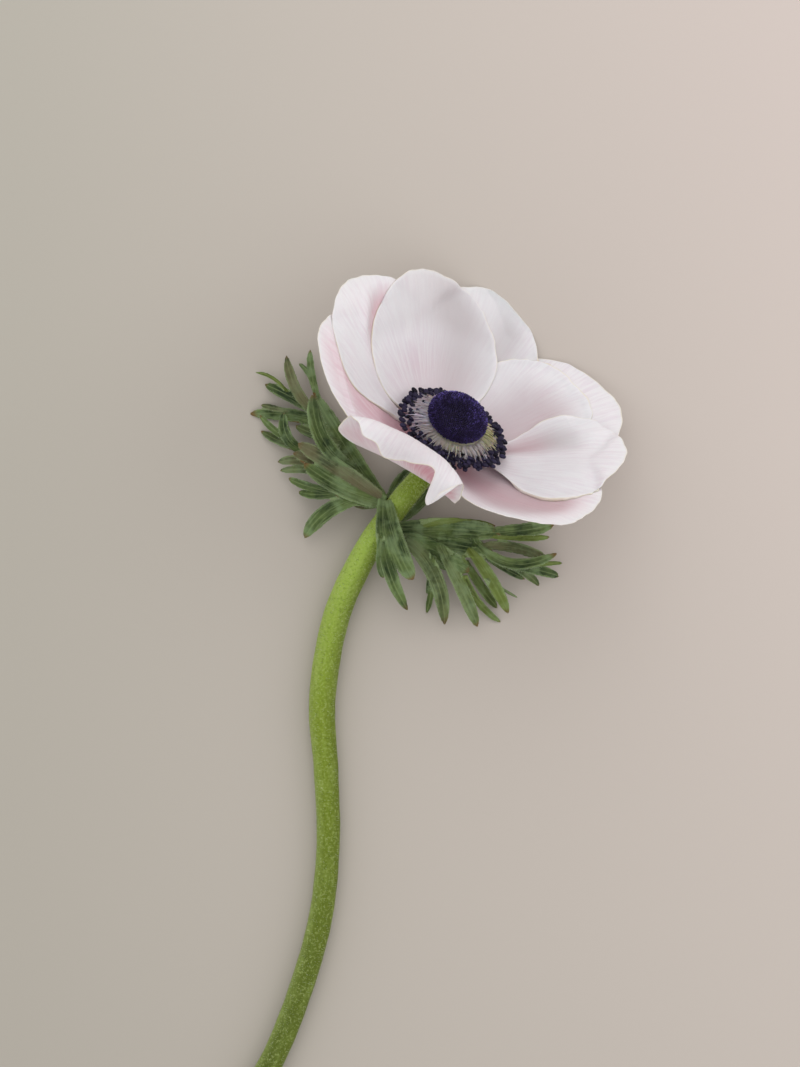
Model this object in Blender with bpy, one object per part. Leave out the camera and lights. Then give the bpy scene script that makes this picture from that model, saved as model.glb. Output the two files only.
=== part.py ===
"""Anemone flower, cut and laid down: nine white tepals, a dark eye, a frilled collar of
three leafy bracts and a long curved stem.  Lengths in the tables are millimetres, the
meshes are metres, +Z is up and the table is z = 0."""
import math

import bmesh
import bpy
import numpy as np
from mathutils import Matrix

MM = 0.001
GAP = 0.3                       # clearance between neighbouring pieces

# --- the flower's own frame: the axis leans over and faces the heading
TILT = math.radians(47.0)
HEADING = math.radians(59.5)
BASE = np.array([0.0, 0.0, 19.3])
AXIS = np.array([math.sin(TILT) * math.cos(HEADING), math.sin(TILT) * math.sin(HEADING),
                 math.cos(TILT)])
DOWNHILL = np.array([math.cos(TILT) * math.cos(HEADING), math.cos(TILT) * math.sin(HEADING),
                     -math.sin(TILT)])
ACROSS = np.array([-math.sin(HEADING), math.cos(HEADING), 0.0])
CENTRE = np.array([-9.5257, -71.0011, 0.0])     # middle of the outline, moved to the origin

# --- tepals
TEPAL_THICK = 0.7
LAYER_STEP = 1.35               # distance between overlapping tepals
KNOT = 11.0                     # spacing of the slope values below, from the base out
CUP_SLOPE = (4.0, 27.0, 39.0, 35.0, 24.0)
CUP_MEAN = 29.0                 # mean of those slopes out to the rims
CUP_RISE = 26.0                 # mean slope round most of the cup
STEEPER, STEEP_AZ, STEEP_SPREAD = 6.3, 74.0, 48.0       # it stands steeper on the left
# the front tepal stands up as a wall across the heading and rolls over outwards
FRONT_KNOT = 4.4
FRONT_SLOPE = (8.0, 10.0, 24.0, 52.0, 76.0, 82.0, 62.0, -20.0, -65.0, -75.0)
FRONT_LENGTH, FRONT_LAYER = 34.7, 3
FRONT_OUTLINE = (36.0, 0.60, 0.15, (1.0, 0.92), (1.1, 1.1))
FRONT_DRIFT = 8.0               # how far its middle lies to the left of the axis
FRONT_CURL = (5.0, 4.5)         # outward curl of its right and left corners
FRONT_TURN = 20.0               # distance from its foot at which drift and curl are complete
# name: azimuth, layer (0 is innermost), length, width, widest point, bluntness, then for the
# sides of lower and of higher azimuth their share of the width and how fast they narrow
TEPALS = {
    "tepal_top": (41.0, 0, 39.7, 39.0, 0.58, 0.0, (1.0, 1.0), (1.1, 1.1)),
    "tepal_right_low": (-76.0, 0, 39.4, 32.0, 0.67, 0.3, (0.92, 0.96), (2.6, 2.2)),
    "tepal_upper_left": (77.0, 1, 42.9, 35.0, 0.69, 0.1, (1.0, 0.92), (1.1, 2.2)),
    "tepal_right": (-38.0, 1, 33.6, 32.0, 0.60, 0.1, (1.0, 1.10), (1.2, 0.8)),
    "tepal_upper_right": (12.5, 2, 39.5, 35.0, 0.58, 0.0, (1.03, 1.0), (1.1, 1.1)),
    "tepal_bottom": (-110.0, 2, 38.2, 40.0, 0.64, 0.45, (0.78, 1.0), (1.0, 1.1)),
    "tepal_far_left": (101.5, 2, 41.2, 35.0, 0.56, 0.0, (0.97, 0.85), (1.1, 1.5)),
    "tepal_far_right": (-48.0, 3, 40.2, 39.0, 0.60, 0.1, (1.0, 1.08), (1.1, 1.1)),
}
CLAW = 5.2                      # width of a tepal where it is attached
ROOT_RADIUS = 0.65              # distance from the receptacle to the middle of a tepal's foot
TEPAL_COLS, TEPAL_ROWS = 8, 10

# --- stem: x, y, z of the centre line and radius, cut end first
STEM = (
    (-61.0, -184.0, 2.93, 3.10), (-52.0, -170.0, 2.93, 3.10), (-43.0, -154.5, 2.88, 3.05),
    (-36.2, -137.0, 2.88, 3.05), (-31.4, -119.0, 2.83, 3.00), (-29.7, -101.0, 2.78, 2.95),
    (-30.2, -83.0, 2.93, 3.10), (-31.2, -65.0, 3.17, 3.35), (-27.8, -44.5, 3.4, 3.40),
    (-21.5, -30.0, 4.4, 3.30), (-15.2, -20.0, 6.6, 3.20), (-9.2, -12.2, 10.9, 3.00),
    (-4.2, -6.6, 15.2, 2.95),
)
STEM_SIDES, STEM_STATIONS = 12, 48
# receptacle: height along the flower axis and radius
RECEPTACLE = ((-5.4, 3.0), (-4.1, 3.6), (-2.7, 4.4), (-1.4, 5.1), (0.0, 5.7), (0.7, 5.9), (1.2, 5.5))

# --- eye
DOME_RADIUS, DOME_HALF_HEIGHT, DOME_CENTRE = 7.6, 5.4, 9.2
DOME_SEEDS = 230
DOME_DIP = 0.35                 # depth of the dips between the seeds
DOME_CUT = 2.6                  # the dome ends at this height, above its neck
NECK_RADIUS, NECK_HEIGHT, NECK_SIDES = 4.2, 1.5, 24
STAMEN_COUNT = 48
COLLAR = ((4.7, 1.5), (5.9, 3.0), (6.5, 3.15), (7.1, 2.7), (7.5, 2.0), (7.0, 1.5))
STAMEN_REACH = (10.2, 11.9, 13.5)               # radius of the anthers, row by row
STAMEN_LIFT = (5.8, 5.2, 4.8)                   # and their height
STAMEN_ROOT, STAMEN_FOOT, ROW_STEP = 6.2, 3.1, 0.45     # radius and height on the collar
ANTHER_REACH = (0.0, 0.0, -0.35, 0.30, 1.35)    # how far the sections lie past the reach
# sections of a stamen from the collar out: share of the way out, of the way up, half-widths
STAMEN_SECTIONS = (
    (0.45, 0.62, 0.20, 0.20), (0.86, 0.93, 0.20, 0.20), (1.0, 1.0, 0.42, 0.40),
    (1.0, 1.0, 0.70, 0.60), (1.0, 1.0, 0.34, 0.34),
)

# --- bracts: (root, bend, tip, width); each row is one lobe of the divided leaf
BRACT_THICK = 0.9
LEFT_BRACT = (
    ((-15.5, -15.0, 8.8), (-26.0, -1.0, 6.5), (-33.2, 12.5, 4.5), 5.0),
    ((-31.8, 10.0, 4.5), (-34.5, 17.5, 4.0), (-34.3, 23.8, 3.0), 2.2),
    ((-33.0, 13.5, 4.4), (-34.5, 18.5, 3.4), (-37.2, 20.3, 2.2), 1.6),
    ((-32.0, 7.0, 4.6), (-38.8, 11.8, 6.5), (-40.3, 22.2, 5.0), 3.2),
    ((-33.0, 8.0, 4.4), (-40.0, 12.5, 4.0), (-45.8, 15.0, 1.2), 3.2),
    ((-40.5, 13.6, 3.6), (-44.0, 17.8, 3.2), (-48.3, 18.0, 1.4), 1.1),
    ((-29.5, 4.5, 5.0), (-38.5, 8.5, 1.2), (-49.7, 7.5, 0.4), 3.8),
    ((-40.5, 8.2, 2.0), (-44.0, 9.0, 1.7), (-46.8, 9.8, 1.2), 1.8),
    ((-24.0, -6.5, 8.0), (-33.5, -1.5, 4.5), (-39.0, -1.0, 3.2), 3.6),
    ((-36.5, -1.0, 3.4), (-43.5, 2.5, 3.2), (-47.2, 7.3, 1.8), 2.0),
    ((-36.5, -1.6, 3.4), (-42.8, 0.3, 1.4), (-46.8, 3.2, 0.4), 2.5),
    ((-36.0, -1.8, 3.6), (-41.8, 0.5, 6.0), (-40.8, 7.8, 7.0), 3.4),
    ((-23.0, -7.0, 8.6), (-33.5, -1.2, 15.0), (-33.5, 12.0, 14.0), 4.6),
    ((-26.5, 0.5, 6.2), (-34.0, 2.0, 3.2), (-38.0, 4.5, 2.6), 2.8),
    ((-15.5, -14.8, 9.4), (-27.8, -5.0, 11.2), (-37.3, -0.2, 11.0), 5.0),
    ((-23.5, -9.2, 9.6), (-31.0, -5.2, 8.6), (-38.5, -2.5, 8.0), 4.4),
    ((-28.5, -6.2, 8.4), (-36.5, -3.2, 6.0), (-42.5, -4.8, 4.0), 3.0),
    ((-28.5, -8.0, 8.8), (-36.5, -6.0, 5.2), (-42.0, -7.0, 2.6), 2.2),
    ((-15.5, -15.2, 9.4), (-27.0, -12.5, 11.6), (-35.8, -5.2, 10.0), 5.0),
    ((-26.0, -12.8, 9.4), (-35.0, -11.5, 6.0), (-39.8, -8.8, 3.6), 2.6),
    ((-27.0, -12.8, 9.2), (-32.8, -13.8, 6.2), (-37.3, -12.3, 3.6), 2.6),
    ((-21.0, -13.8, 9.4), (-31.5, -15.8, 8.0), (-35.7, -24.0, 2.6), 4.4),
    ((-15.0, -15.4, 8.8), (-21.0, -14.4, 9.4), (-27.5, -12.8, 9.2), 4.0),
    ((-16.5, -15.4, 8.2), (-19.5, -16.6, 5.6), (-23.5, -15.6, 4.2), 1.9),
    ((-15.8, -14.2, 10.4), (-17.6, -29.5, 16.4), (-9.5, -42.3, 8.6), 4.0),
    ((-15.2, -14.6, 10.8), (-13.2, -26.5, 16.2), (-8.2, -34.6, 11.6), 5.6),
    ((-16.3, -24.0, 13.4), (-17.3, -31.0, 12.2), (-15.6, -34.2, 9.6), 2.0),
)
RIGHT_BRACT = (
    ((-12.4, -22.2, 7.6), (0.5, -21.0, 9.6), (13.5, -22.8, 8.6), 6.2),
    ((-12.2, -22.8, 7.4), (-0.3, -25.0, 9.6), (11.5, -27.5, 8.2), 6.5),
    ((-12.0, -23.2, 7.2), (-1.5, -27.5, 9.6), (6.0, -32.5, 8.4), 6.5),
    ((-5.0, -21.2, 8.3), (4.0, -19.0, 7.6), (12.8, -21.0, 6.0), 2.0),
    ((9.5, -22.8, 8.8), (19.8, -22.5, 8.4), (27.5, -20.6, 5.0), 4.0),
    ((12.5, -23.6, 8.4), (21.0, -24.2, 6.6), (26.5, -23.8, 4.6), 2.0),
    ((8.0, -25.6, 8.8), (16.5, -34.5, 11.0), (28.2, -27.8, 8.0), 3.2),
    ((10.0, -26.0, 8.4), (18.5, -25.2, 4.6), (26.5, -29.8, 3.0), 3.2),
    ((20.0, -31.2, 8.8), (26.0, -30.2, 5.6), (29.7, -30.4, 3.6), 1.4),
    ((15.5, -30.8, 9.0), (24.0, -31.8, 5.4), (28.8, -33.8, 3.2), 3.0),
    ((10.5, -28.2, 9.0), (20.5, -31.5, 6.4), (23.8, -36.2, 3.0), 2.6),
    ((8.5, -27.5, 8.6), (15.5, -32.5, 4.4), (20.2, -34.5, 2.0), 2.0),
    ((6.0, -26.5, 8.8), (12.0, -34.0, 9.8), (16.0, -43.2, 3.0), 3.6),
    ((11.0, -34.5, 7.6), (15.0, -37.5, 4.2), (18.5, -39.2, 2.6), 0.9),
    ((5.0, -30.0, 8.2), (9.0, -37.0, 3.6), (13.2, -41.8, 0.5), 2.8),
    ((5.0, -33.5, 8.6), (7.5, -41.2, 2.8), (14.2, -45.5, 0.4), 2.2),
    ((-1.0, -27.0, 9.2), (4.5, -37.0, 10.6), (8.2, -46.6, 3.6), 3.8),
    ((-11.5, -23.2, 7.8), (-0.5, -30.8, 13.4), (-0.2, -46.0, 3.8), 4.4),
    ((-3.0, -29.0, 9.8), (-3.0, -37.5, 4.6), (-4.8, -43.2, 1.1), 2.0),
    ((-3.4, -29.0, 9.2), (-4.4, -35.2, 5.0), (-4.6, -38.4, 2.4), 1.3),
)
BACK_BRACT = (
    ((-14.2, -20.0, 2.9), (-14.0, -11.5, 1.6), (-8.5, -6.5, 1.0), 4.0),
    ((-14.0, -20.0, 2.9), (-7.5, -16.5, 1.4), (-4.0, -11.5, 0.9), 4.6),
    ((-13.6, -19.4, 2.9), (-7.0, -10.0, 1.4), (-3.0, -4.5, 1.0), 4.2),
)
LOBE_STATIONS = 4
LOBE_ROLL = 0.35                # the lobes roll about their lines by up to this, in radians
LOBE_CREASE = 0.16              # depth of the fold along a lobe as a share of its width
LEVEL_STEP = 0.001              # keeps the flat undersides of crossing lobes apart


# ------------------------------------------------------------------ small helpers
def clear_scene():
    for obj in list(bpy.data.objects):
        bpy.data.objects.remove(obj, do_unlink=True)


def material(name, colour, roughness):
    mat = bpy.data.materials.new(name)
    mat.use_nodes = True
    shader = mat.node_tree.nodes["Principled BSDF"]
    shader.inputs["Base Color"].default_value = (*colour, 1.0)
    shader.inputs["Roughness"].default_value = roughness
    shader.inputs["Metallic"].default_value = 0.0
    mat.diffuse_color = (*colour, 1.0)
    return mat


def add_object(name, points, faces, mat=None, smooth=True):
    """A mesh object from points in millimetres."""
    mesh = bpy.data.meshes.new(name)
    mesh.from_pydata([tuple(float(c) * MM for c in p) for p in points], [],
                     [tuple(int(i) for i in f) for f in faces])
    mesh.validate()
    obj = bpy.data.objects.new(name, mesh)
    bpy.context.scene.collection.objects.link(obj)
    if mat:
        mesh.materials.append(mat)
    if smooth:
        mesh.shade_smooth()
        mesh.set_sharp_from_angle(angle=math.radians(50.0))
    return obj


def apply_modifiers(obj):
    """Keep the evaluated mesh as the object's own."""
    graph = bpy.context.evaluated_depsgraph_get()
    mesh = bpy.data.meshes.new_from_object(obj.evaluated_get(graph))
    old = obj.data
    obj.modifiers.clear()
    obj.data = mesh
    bpy.data.meshes.remove(old)


def catmull(values, t):
    """Smooth curve through evenly spaced values; t runs from 0 to 1."""
    values = np.asarray(values, float)
    last = len(values) - 1
    x = np.clip(t, 0.0, 1.0) * last
    i = np.minimum(x.astype(int), last - 1)
    f = x - i
    a, b = values[np.maximum(i - 1, 0)], values[i]
    c, d = values[i + 1], values[np.minimum(i + 2, last)]
    return 0.5 * (2 * b + (c - a) * f + (2 * a - 5 * b + 4 * c - d) * f ** 2
                  + (3 * b - a - 3 * c + d) * f ** 3)


def to_world(x, y, h):
    """Flower coordinates to millimetres above the table."""
    return (BASE + np.asarray(x)[..., None] * DOWNHILL + np.asarray(y)[..., None] * ACROSS
            + np.asarray(h)[..., None] * AXIS)


def grid_faces(rows, cols):
    return [(r * cols + c, r * cols + c + 1, (r + 1) * cols + c + 1, (r + 1) * cols + c)
            for r in range(rows - 1) for c in range(cols - 1)]


# ------------------------------------------------------------------ tepals
def slope(along, az):
    """Slope of the cup in radians, this far out from the base, in this direction."""
    rise = CUP_RISE + STEEPER * np.exp(-((az - STEEP_AZ) / STEEP_SPREAD) ** 4)
    return np.radians(catmull(CUP_SLOPE, along / (KNOT * (len(CUP_SLOPE) - 1))) * rise / CUP_MEAN)


def receptacle_radius(height):
    return np.interp(height, [h for h, _ in RECEPTACLE], [r for _, r in RECEPTACLE])


def cup(along, az, start):
    """Radius, height and slope of the cup by following its slope outwards."""
    steps = (np.arange(80) + 0.5) / 80.0
    th = slope(along[..., None] * steps, az[..., None])
    return (start + np.cos(th).mean(-1) * along, np.sin(th).mean(-1) * along,
            slope(along, az))


def tepal_outline(u, v, width, widest, blunt, shares, tapers):
    """Map the square to the outline: across in mm, out as a share of the length."""
    top = np.clip(v, 0.0, 1.0)
    across_top = u * ((1 - blunt) * np.sqrt(1 - top ** 2 / 2) + blunt * (1 - 0.22 * top ** 3))
    out_top = widest + (1 - widest) * top * ((1 - blunt) * np.sqrt(1 - u ** 2 / 2)
                                             + blunt * (1 - 0.22 * u ** 4))
    low = np.clip(v + 1.0, 0.0, 1.0)
    narrow = np.sin(low * math.pi / 2) ** np.where(u < 0, *tapers)
    taper = CLAW / width + (1 - CLAW / width) * narrow
    across = np.where(v >= 0, across_top, u * taper) * width / 2 * np.where(u < 0, *shares)
    return across, np.where(v >= 0, out_top, widest * low)


def tepal_points(az, layer, length, *outline):
    u, v = np.meshgrid(np.linspace(-1, 1, TEPAL_COLS + 1), np.linspace(-1, 1, TEPAL_ROWS + 1))
    across, out = tepal_outline(u, v, *outline)
    drop = LAYER_STEP * layer
    start = receptacle_radius(0.0) + ROOT_RADIUS
    inset = receptacle_radius(0.0) - receptacle_radius(-drop)
    along = out * (length + inset) - inset
    middle, _, _ = cup(along, np.full_like(out, az), start)
    turn = az + np.degrees(across / np.maximum(middle, 6.0))
    radius, height, th = cup(along, turn, start)
    radius, height = radius + np.sin(th) * drop * (out > 0), height - drop * np.cos(th)
    a = np.radians(turn)
    return to_world(radius * np.cos(a), radius * np.sin(a), height)


def front_points():
    """The front tepal: the same profile all the way across, so its crest is straight."""
    u, v = np.meshgrid(np.linspace(-1, 1, TEPAL_COLS + 1), np.linspace(-1, 1, TEPAL_ROWS + 7))
    across, out = tepal_outline(u, v, *FRONT_OUTLINE)
    along = out * FRONT_LENGTH
    steps = (np.arange(120) + 0.5) / 120.0
    th = np.radians(catmull(FRONT_SLOPE, along[..., None] * steps
                            / (FRONT_KNOT * (len(FRONT_SLOPE) - 1))))
    drop = LAYER_STEP * FRONT_LAYER
    radius = receptacle_radius(-drop) + ROOT_RADIUS + np.cos(th).mean(-1) * along
    height = np.sin(th).mean(-1) * along - drop
    rise = np.clip(along / FRONT_TURN, 0, 1)
    sideways = across + FRONT_DRIFT * rise * rise * (3 - 2 * rise)
    radius = radius + (FRONT_CURL[0] * np.clip(-u, 0, 1) ** 3
                       + FRONT_CURL[1] * np.clip(u, 0, 1) ** 2) * rise ** 2
    return to_world(-radius, sideways, height)


def make_tepal(name, mat):
    points = tepal_points(*TEPALS[name]) if name in TEPALS else front_points()
    points[..., 2] = np.maximum(points[..., 2], TEPAL_THICK / 2)
    cols = TEPAL_COLS + 1
    obj = add_object(name, points.reshape(-1, 3), grid_faces(len(points), cols), mat)
    obj.modifiers.new("Triangles", "TRIANGULATE")
    solid = obj.modifiers.new("Thickness", "SOLIDIFY")
    solid.thickness = TEPAL_THICK * MM
    solid.offset = 0.0
    solid.use_even_offset = False
    return obj


# ------------------------------------------------------------------ stem
def tube_rings(path, radii, sides):
    """Rings of points along a path, kept level so the underside can be flat."""
    heading = np.gradient(path, axis=0)
    heading /= np.linalg.norm(heading, axis=1)[:, None]
    side = np.cross(heading, [0.0, 0.0, 1.0])
    side /= np.linalg.norm(side, axis=1)[:, None]
    over = np.cross(side, heading)
    a = (np.arange(sides) + 0.5) * 2 * math.pi / sides
    return (path[:, None] + radii[:, None, None]
            * (np.cos(a)[None, :, None] * side[:, None] + np.sin(a)[None, :, None] * over[:, None]))


def tube_faces(rings, sides):
    faces = [(r * sides + s, (r + 1) * sides + s, (r + 1) * sides + (s + 1) % sides,
              r * sides + (s + 1) % sides) for r in range(rings - 1) for s in range(sides)]
    return faces + [tuple(range(sides)), tuple(reversed(range((rings - 1) * sides, rings * sides)))]


def stem_path():
    """Centre line and radii from the cut end to the top of the receptacle."""
    table = np.array(STEM)
    t = np.linspace(0, 1, STEM_STATIONS)
    line = np.stack([catmull(table[:, k], t) for k in range(4)], axis=-1)
    top = np.array([[*(BASE + AXIS * h), r] for h, r in RECEPTACLE])
    joined = np.concatenate([line, top])
    return joined[:, :3], joined[:, 3]


def make_stem(name, mat, extra=0.0):
    path, radii = stem_path()
    rings = tube_rings(path, radii + extra, STEM_SIDES)
    count = len(path)
    if not extra:
        rings[..., 2] = np.maximum(rings[..., 2], 0.0)
    return add_object(name, rings.reshape(-1, 3), tube_faces(count, STEM_SIDES), mat)


# ------------------------------------------------------------------ eye
def make_pistil(name, mat):
    """Dome of packed pistils: seeds on a spiral are the peaks, the faces between them dip."""
    bm = bmesh.new()
    golden = math.pi * (3 - math.sqrt(5))
    for i in range(DOME_SEEDS):
        z = 1 - 2 * (i + 0.5) / DOME_SEEDS
        r = math.sqrt(1 - z * z)
        x, y = DOME_RADIUS * r * math.cos(i * golden), DOME_RADIUS * r * math.sin(i * golden)
        h = DOME_CENTRE + DOME_HALF_HEIGHT * z
        if h > DOME_CUT:
            bm.verts.new([float(c) * MM for c in to_world(x, y, h)])
    for i in range(NECK_SIDES):
        a = i * 2 * math.pi / NECK_SIDES
        p = to_world(NECK_RADIUS * math.cos(a), NECK_RADIUS * math.sin(a), NECK_HEIGHT)
        bm.verts.new([float(c) * MM for c in p])
    hull = bmesh.ops.convex_hull(bm, input=list(bm.verts))
    inside = [v for v in hull["geom_interior"] if isinstance(v, bmesh.types.BMVert)]
    bmesh.ops.delete(bm, geom=inside, context="VERTS")
    foot = BASE + AXIS * (NECK_HEIGHT + DOME_CUT)
    upper = [f for f in bm.faces
             if all(np.dot(np.array(v.co) / MM - foot, AXIS) > 0 for v in f.verts)]
    bmesh.ops.poke(bm, faces=upper, offset=-DOME_DIP * MM)
    bmesh.ops.triangulate(bm, faces=list(bm.faces))
    bmesh.ops.recalc_face_normals(bm, faces=list(bm.faces))
    mesh = bpy.data.meshes.new(name)
    bm.to_mesh(mesh)
    bm.free()
    mesh.materials.append(mat)
    obj = bpy.data.objects.new(name, mesh)
    bpy.context.scene.collection.objects.link(obj)
    return obj


def make_stamens(name, mat):
    """A collar whose outer faces are drawn out into filaments that end in anthers."""
    n, m = STAMEN_COUNT, len(COLLAR)
    angle = np.arange(n) * 2 * math.pi / n
    points = [to_world(r * math.cos(a), r * math.sin(a), h) for a in angle for r, h in COLLAR]
    faces = []
    for i in range(n):
        a0, a1 = i * m, ((i + 1) % n) * m
        for j in range(m):
            k = (j + 1) % m
            quad = (a0 + j, a0 + k, a1 + k, a1 + j)
            if j != 1 + i % 3:
                faces.append(quad)
                continue
            faces += draw_out(points, quad, i, angle[i] + math.pi / n)
    obj = add_object(name, points, [f[::-1] for f in faces], mat, smooth=False)
    tidy = bmesh.new()
    tidy.from_mesh(obj.data)
    bmesh.ops.recalc_face_normals(tidy, faces=list(tidy.faces))
    tidy.to_mesh(obj.data)
    tidy.free()
    return obj


def draw_out(points, quad, index, azimuth):
    """Extend one collar face through four-cornered sections; returns the new faces."""
    row = index % 3
    reach = STAMEN_REACH[row] + 0.5 * math.sin(index * 2.4)
    lift = STAMEN_LIFT[row] + 0.35 * math.cos(index * 1.7)
    root = STAMEN_ROOT + ROW_STEP * row
    foot = STAMEN_FOOT - ROW_STEP * row
    faces, previous = [], list(quad)
    for (out, up, wide, tall), push in zip(STAMEN_SECTIONS, ANTHER_REACH):
        radius = root + (reach - root) * out + push
        height = foot + (lift - foot) * up
        ring = []
        for sr, sa in ((-1, -1), (1, -1), (1, 1), (-1, 1)):
            # across the filament: tangential width; the other way: height and radius
            r = radius + sr * tall * 0.5
            h = height - sr * tall * 0.85
            x = r * math.cos(azimuth) - sa * wide * math.sin(azimuth)
            y = r * math.sin(azimuth) + sa * wide * math.cos(azimuth)
            ring.append(len(points))
            points.append(to_world(x, y, h))
        for c in range(4):
            d = (c + 1) % 4
            faces.append((previous[c], previous[d], ring[d], ring[c]))
        previous = ring
    faces.append(tuple(previous))
    return faces


# ------------------------------------------------------------------ bracts
def lobe(root, bend, tip, width, index):
    """One tapered, creased lobe along a bent line, as a closed strip."""
    t = np.linspace(0, 1, LOBE_STATIONS + 1)[:, None]
    root, bend, tip = np.array(root), np.array(bend), np.array(tip)
    line = (1 - t) ** 2 * root + 2 * t * (1 - t) * bend + t ** 2 * tip
    heading = np.gradient(line, axis=0)
    heading /= np.linalg.norm(heading, axis=1)[:, None]
    side = np.cross(heading, [0.0, 0.0, 1.0])
    side /= np.linalg.norm(side, axis=1)[:, None]
    over = np.cross(side, heading)
    roll = LOBE_ROLL * math.sin(index * 2.4)
    side, over = (math.cos(roll) * side + math.sin(roll) * over,
                  math.cos(roll) * over - math.sin(roll) * side)
    s = t[:, 0]
    half = width / 2 * np.where(s < 0.5, 0.72 + 0.28 * np.sin(s * math.pi),
                                np.sqrt(np.clip(1 - ((s - 0.5) / 0.52) ** 2, 0.02, 1)))
    half, thick = half[:, None], BRACT_THICK / 2
    crease = LOBE_CREASE * width * np.sin(s * math.pi)[:, None]
    rows = [line - side * half + over * (crease + thick * 0.75),
            line + over * (thick - crease * 0.4),
            line + side * half + over * (crease + thick * 0.75),
            line + side * half + over * (crease - thick * 0.75),
            line - over * (thick + crease * 0.4),
            line - side * half + over * (crease - thick * 0.75)]
    rings = np.stack(rows, axis=1)
    rings[..., 2] = np.maximum(rings[..., 2], LEVEL_STEP * (index % 7))
    return rings.reshape(-1, 3), tube_faces(LOBE_STATIONS + 1, 6)


def make_bract(name, lobes, mat):
    """Fuse the lobes into one leaf and cut its foot back from the stem."""
    group = bpy.data.collections.new(name + "_lobes")
    helpers = []
    for i, row in enumerate(lobes):
        points, faces = lobe(*row, i)
        piece = add_object(name if i == 0 else name + "_lobe", points, [f[::-1] for f in faces], mat)
        bm = bmesh.new()
        bm.from_mesh(piece.data)
        bmesh.ops.triangulate(bm, faces=list(bm.faces))
        bmesh.ops.recalc_face_normals(bm, faces=list(bm.faces))
        bm.to_mesh(piece.data)
        bm.free()
        if i == 0:
            leaf = piece
        else:
            group.objects.link(piece)
            helpers.append(piece)
    join = leaf.modifiers.new("Join", "BOOLEAN")
    join.operation, join.operand_type, join.solver = "UNION", "COLLECTION", "EXACT"
    join.collection = group
    room = make_stem("room", mat, GAP)
    cut = leaf.modifiers.new("Foot", "BOOLEAN")
    cut.operation, cut.solver, cut.object = "DIFFERENCE", "EXACT", room
    apply_modifiers(leaf)
    for helper in helpers + [room]:
        bpy.data.objects.remove(helper, do_unlink=True)
    bpy.data.collections.remove(group)
    leaf.modifiers.new("Triangles", "TRIANGULATE")
    return leaf


# ------------------------------------------------------------------ assembly
def main():
    clear_scene()
    white = material("tepal_white", (0.86, 0.80, 0.83), 0.55)
    green = material("stem_green", (0.22, 0.29, 0.05), 0.5)
    leaf = material("bract_green", (0.08, 0.15, 0.05), 0.6)
    eye = material("eye_violet", (0.03, 0.02, 0.08), 0.7)
    pollen = material("anther_navy", (0.015, 0.012, 0.03), 0.6)
    for name in [*TEPALS, "tepal_front"]:
        make_tepal(name, white)
    make_stem("stem", green)
    make_pistil("pistil", eye)
    make_stamens("stamens", pollen)
    make_bract("bract_left", LEFT_BRACT, leaf)
    make_bract("bract_right", RIGHT_BRACT, leaf)
    make_bract("bract_back", BACK_BRACT, leaf)
    for obj in bpy.data.objects:
        obj.data.transform(Matrix.Translation(-CENTRE * MM))


main()
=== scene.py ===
"""Looks of the anemone flower: ruffled veined tepals, a granular violet eye, stamens with
filaments and anthers, leafy bracts and a downy stem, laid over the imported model.  Tables
are in millimetres and degrees, in the design frame of the part; meshes are in metres."""
import math

import bmesh
import bpy
import numpy as np
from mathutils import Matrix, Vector
from mathutils.bvhtree import BVHTree
from mathutils.kdtree import KDTree


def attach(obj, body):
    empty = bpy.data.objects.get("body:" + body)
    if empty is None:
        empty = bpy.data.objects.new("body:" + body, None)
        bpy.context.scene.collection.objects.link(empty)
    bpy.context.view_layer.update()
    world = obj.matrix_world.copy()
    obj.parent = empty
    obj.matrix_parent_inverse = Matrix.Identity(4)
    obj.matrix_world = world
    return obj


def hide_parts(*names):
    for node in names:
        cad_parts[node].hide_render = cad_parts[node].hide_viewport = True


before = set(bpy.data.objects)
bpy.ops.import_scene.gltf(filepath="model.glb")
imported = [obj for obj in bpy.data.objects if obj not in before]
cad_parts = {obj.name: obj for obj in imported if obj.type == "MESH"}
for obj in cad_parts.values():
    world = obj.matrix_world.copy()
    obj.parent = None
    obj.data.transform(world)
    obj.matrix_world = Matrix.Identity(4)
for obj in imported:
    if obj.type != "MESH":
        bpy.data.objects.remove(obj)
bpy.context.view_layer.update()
MM = 0.001

# --- design frame of the part: the flower's axis leans over and faces the heading
TILT = math.radians(47.0)
HEADING = math.radians(59.5)
BASE = np.array([0.0, 0.0, 19.3])
AXIS = np.array([math.sin(TILT) * math.cos(HEADING), math.sin(TILT) * math.sin(HEADING),
                 math.cos(TILT)])
DOWNHILL = np.array([math.cos(TILT) * math.cos(HEADING), math.cos(TILT) * math.sin(HEADING),
                     -math.sin(TILT)])
ACROSS = np.array([-math.sin(HEADING), math.cos(HEADING), 0.0])
CENTRE = np.array([-9.5257, -71.0011, 0.0])

# --- camera
VIEW_CENTRE = np.array([-11.5, -22.875])  # design point in the middle of the picture
VIEW_HEIGHT = 1200.0
VIEW_LEVEL, VIEW_SPAN = 20.0, 266.75  # the picture's height in mm, at this level
SENSOR = 36.0

# --- lights: name, place, size and power; places here and the floor's size are in metres
SOFTBOXES = (("softbox_above", (-0.10, 0.95, 0.95), 1.1, 3.2),
             ("softbox_right", (1.0, 0.45, 0.6), 0.9, 2.2))
LIGHT_TARGET = Vector((0.01, 0.09, 0.02))
ROOM_COLOUR, ROOM_STRENGTH = (1.0, 0.985, 0.975, 1.0), 0.90
FLOOR_SIZE = 2.5

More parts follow.
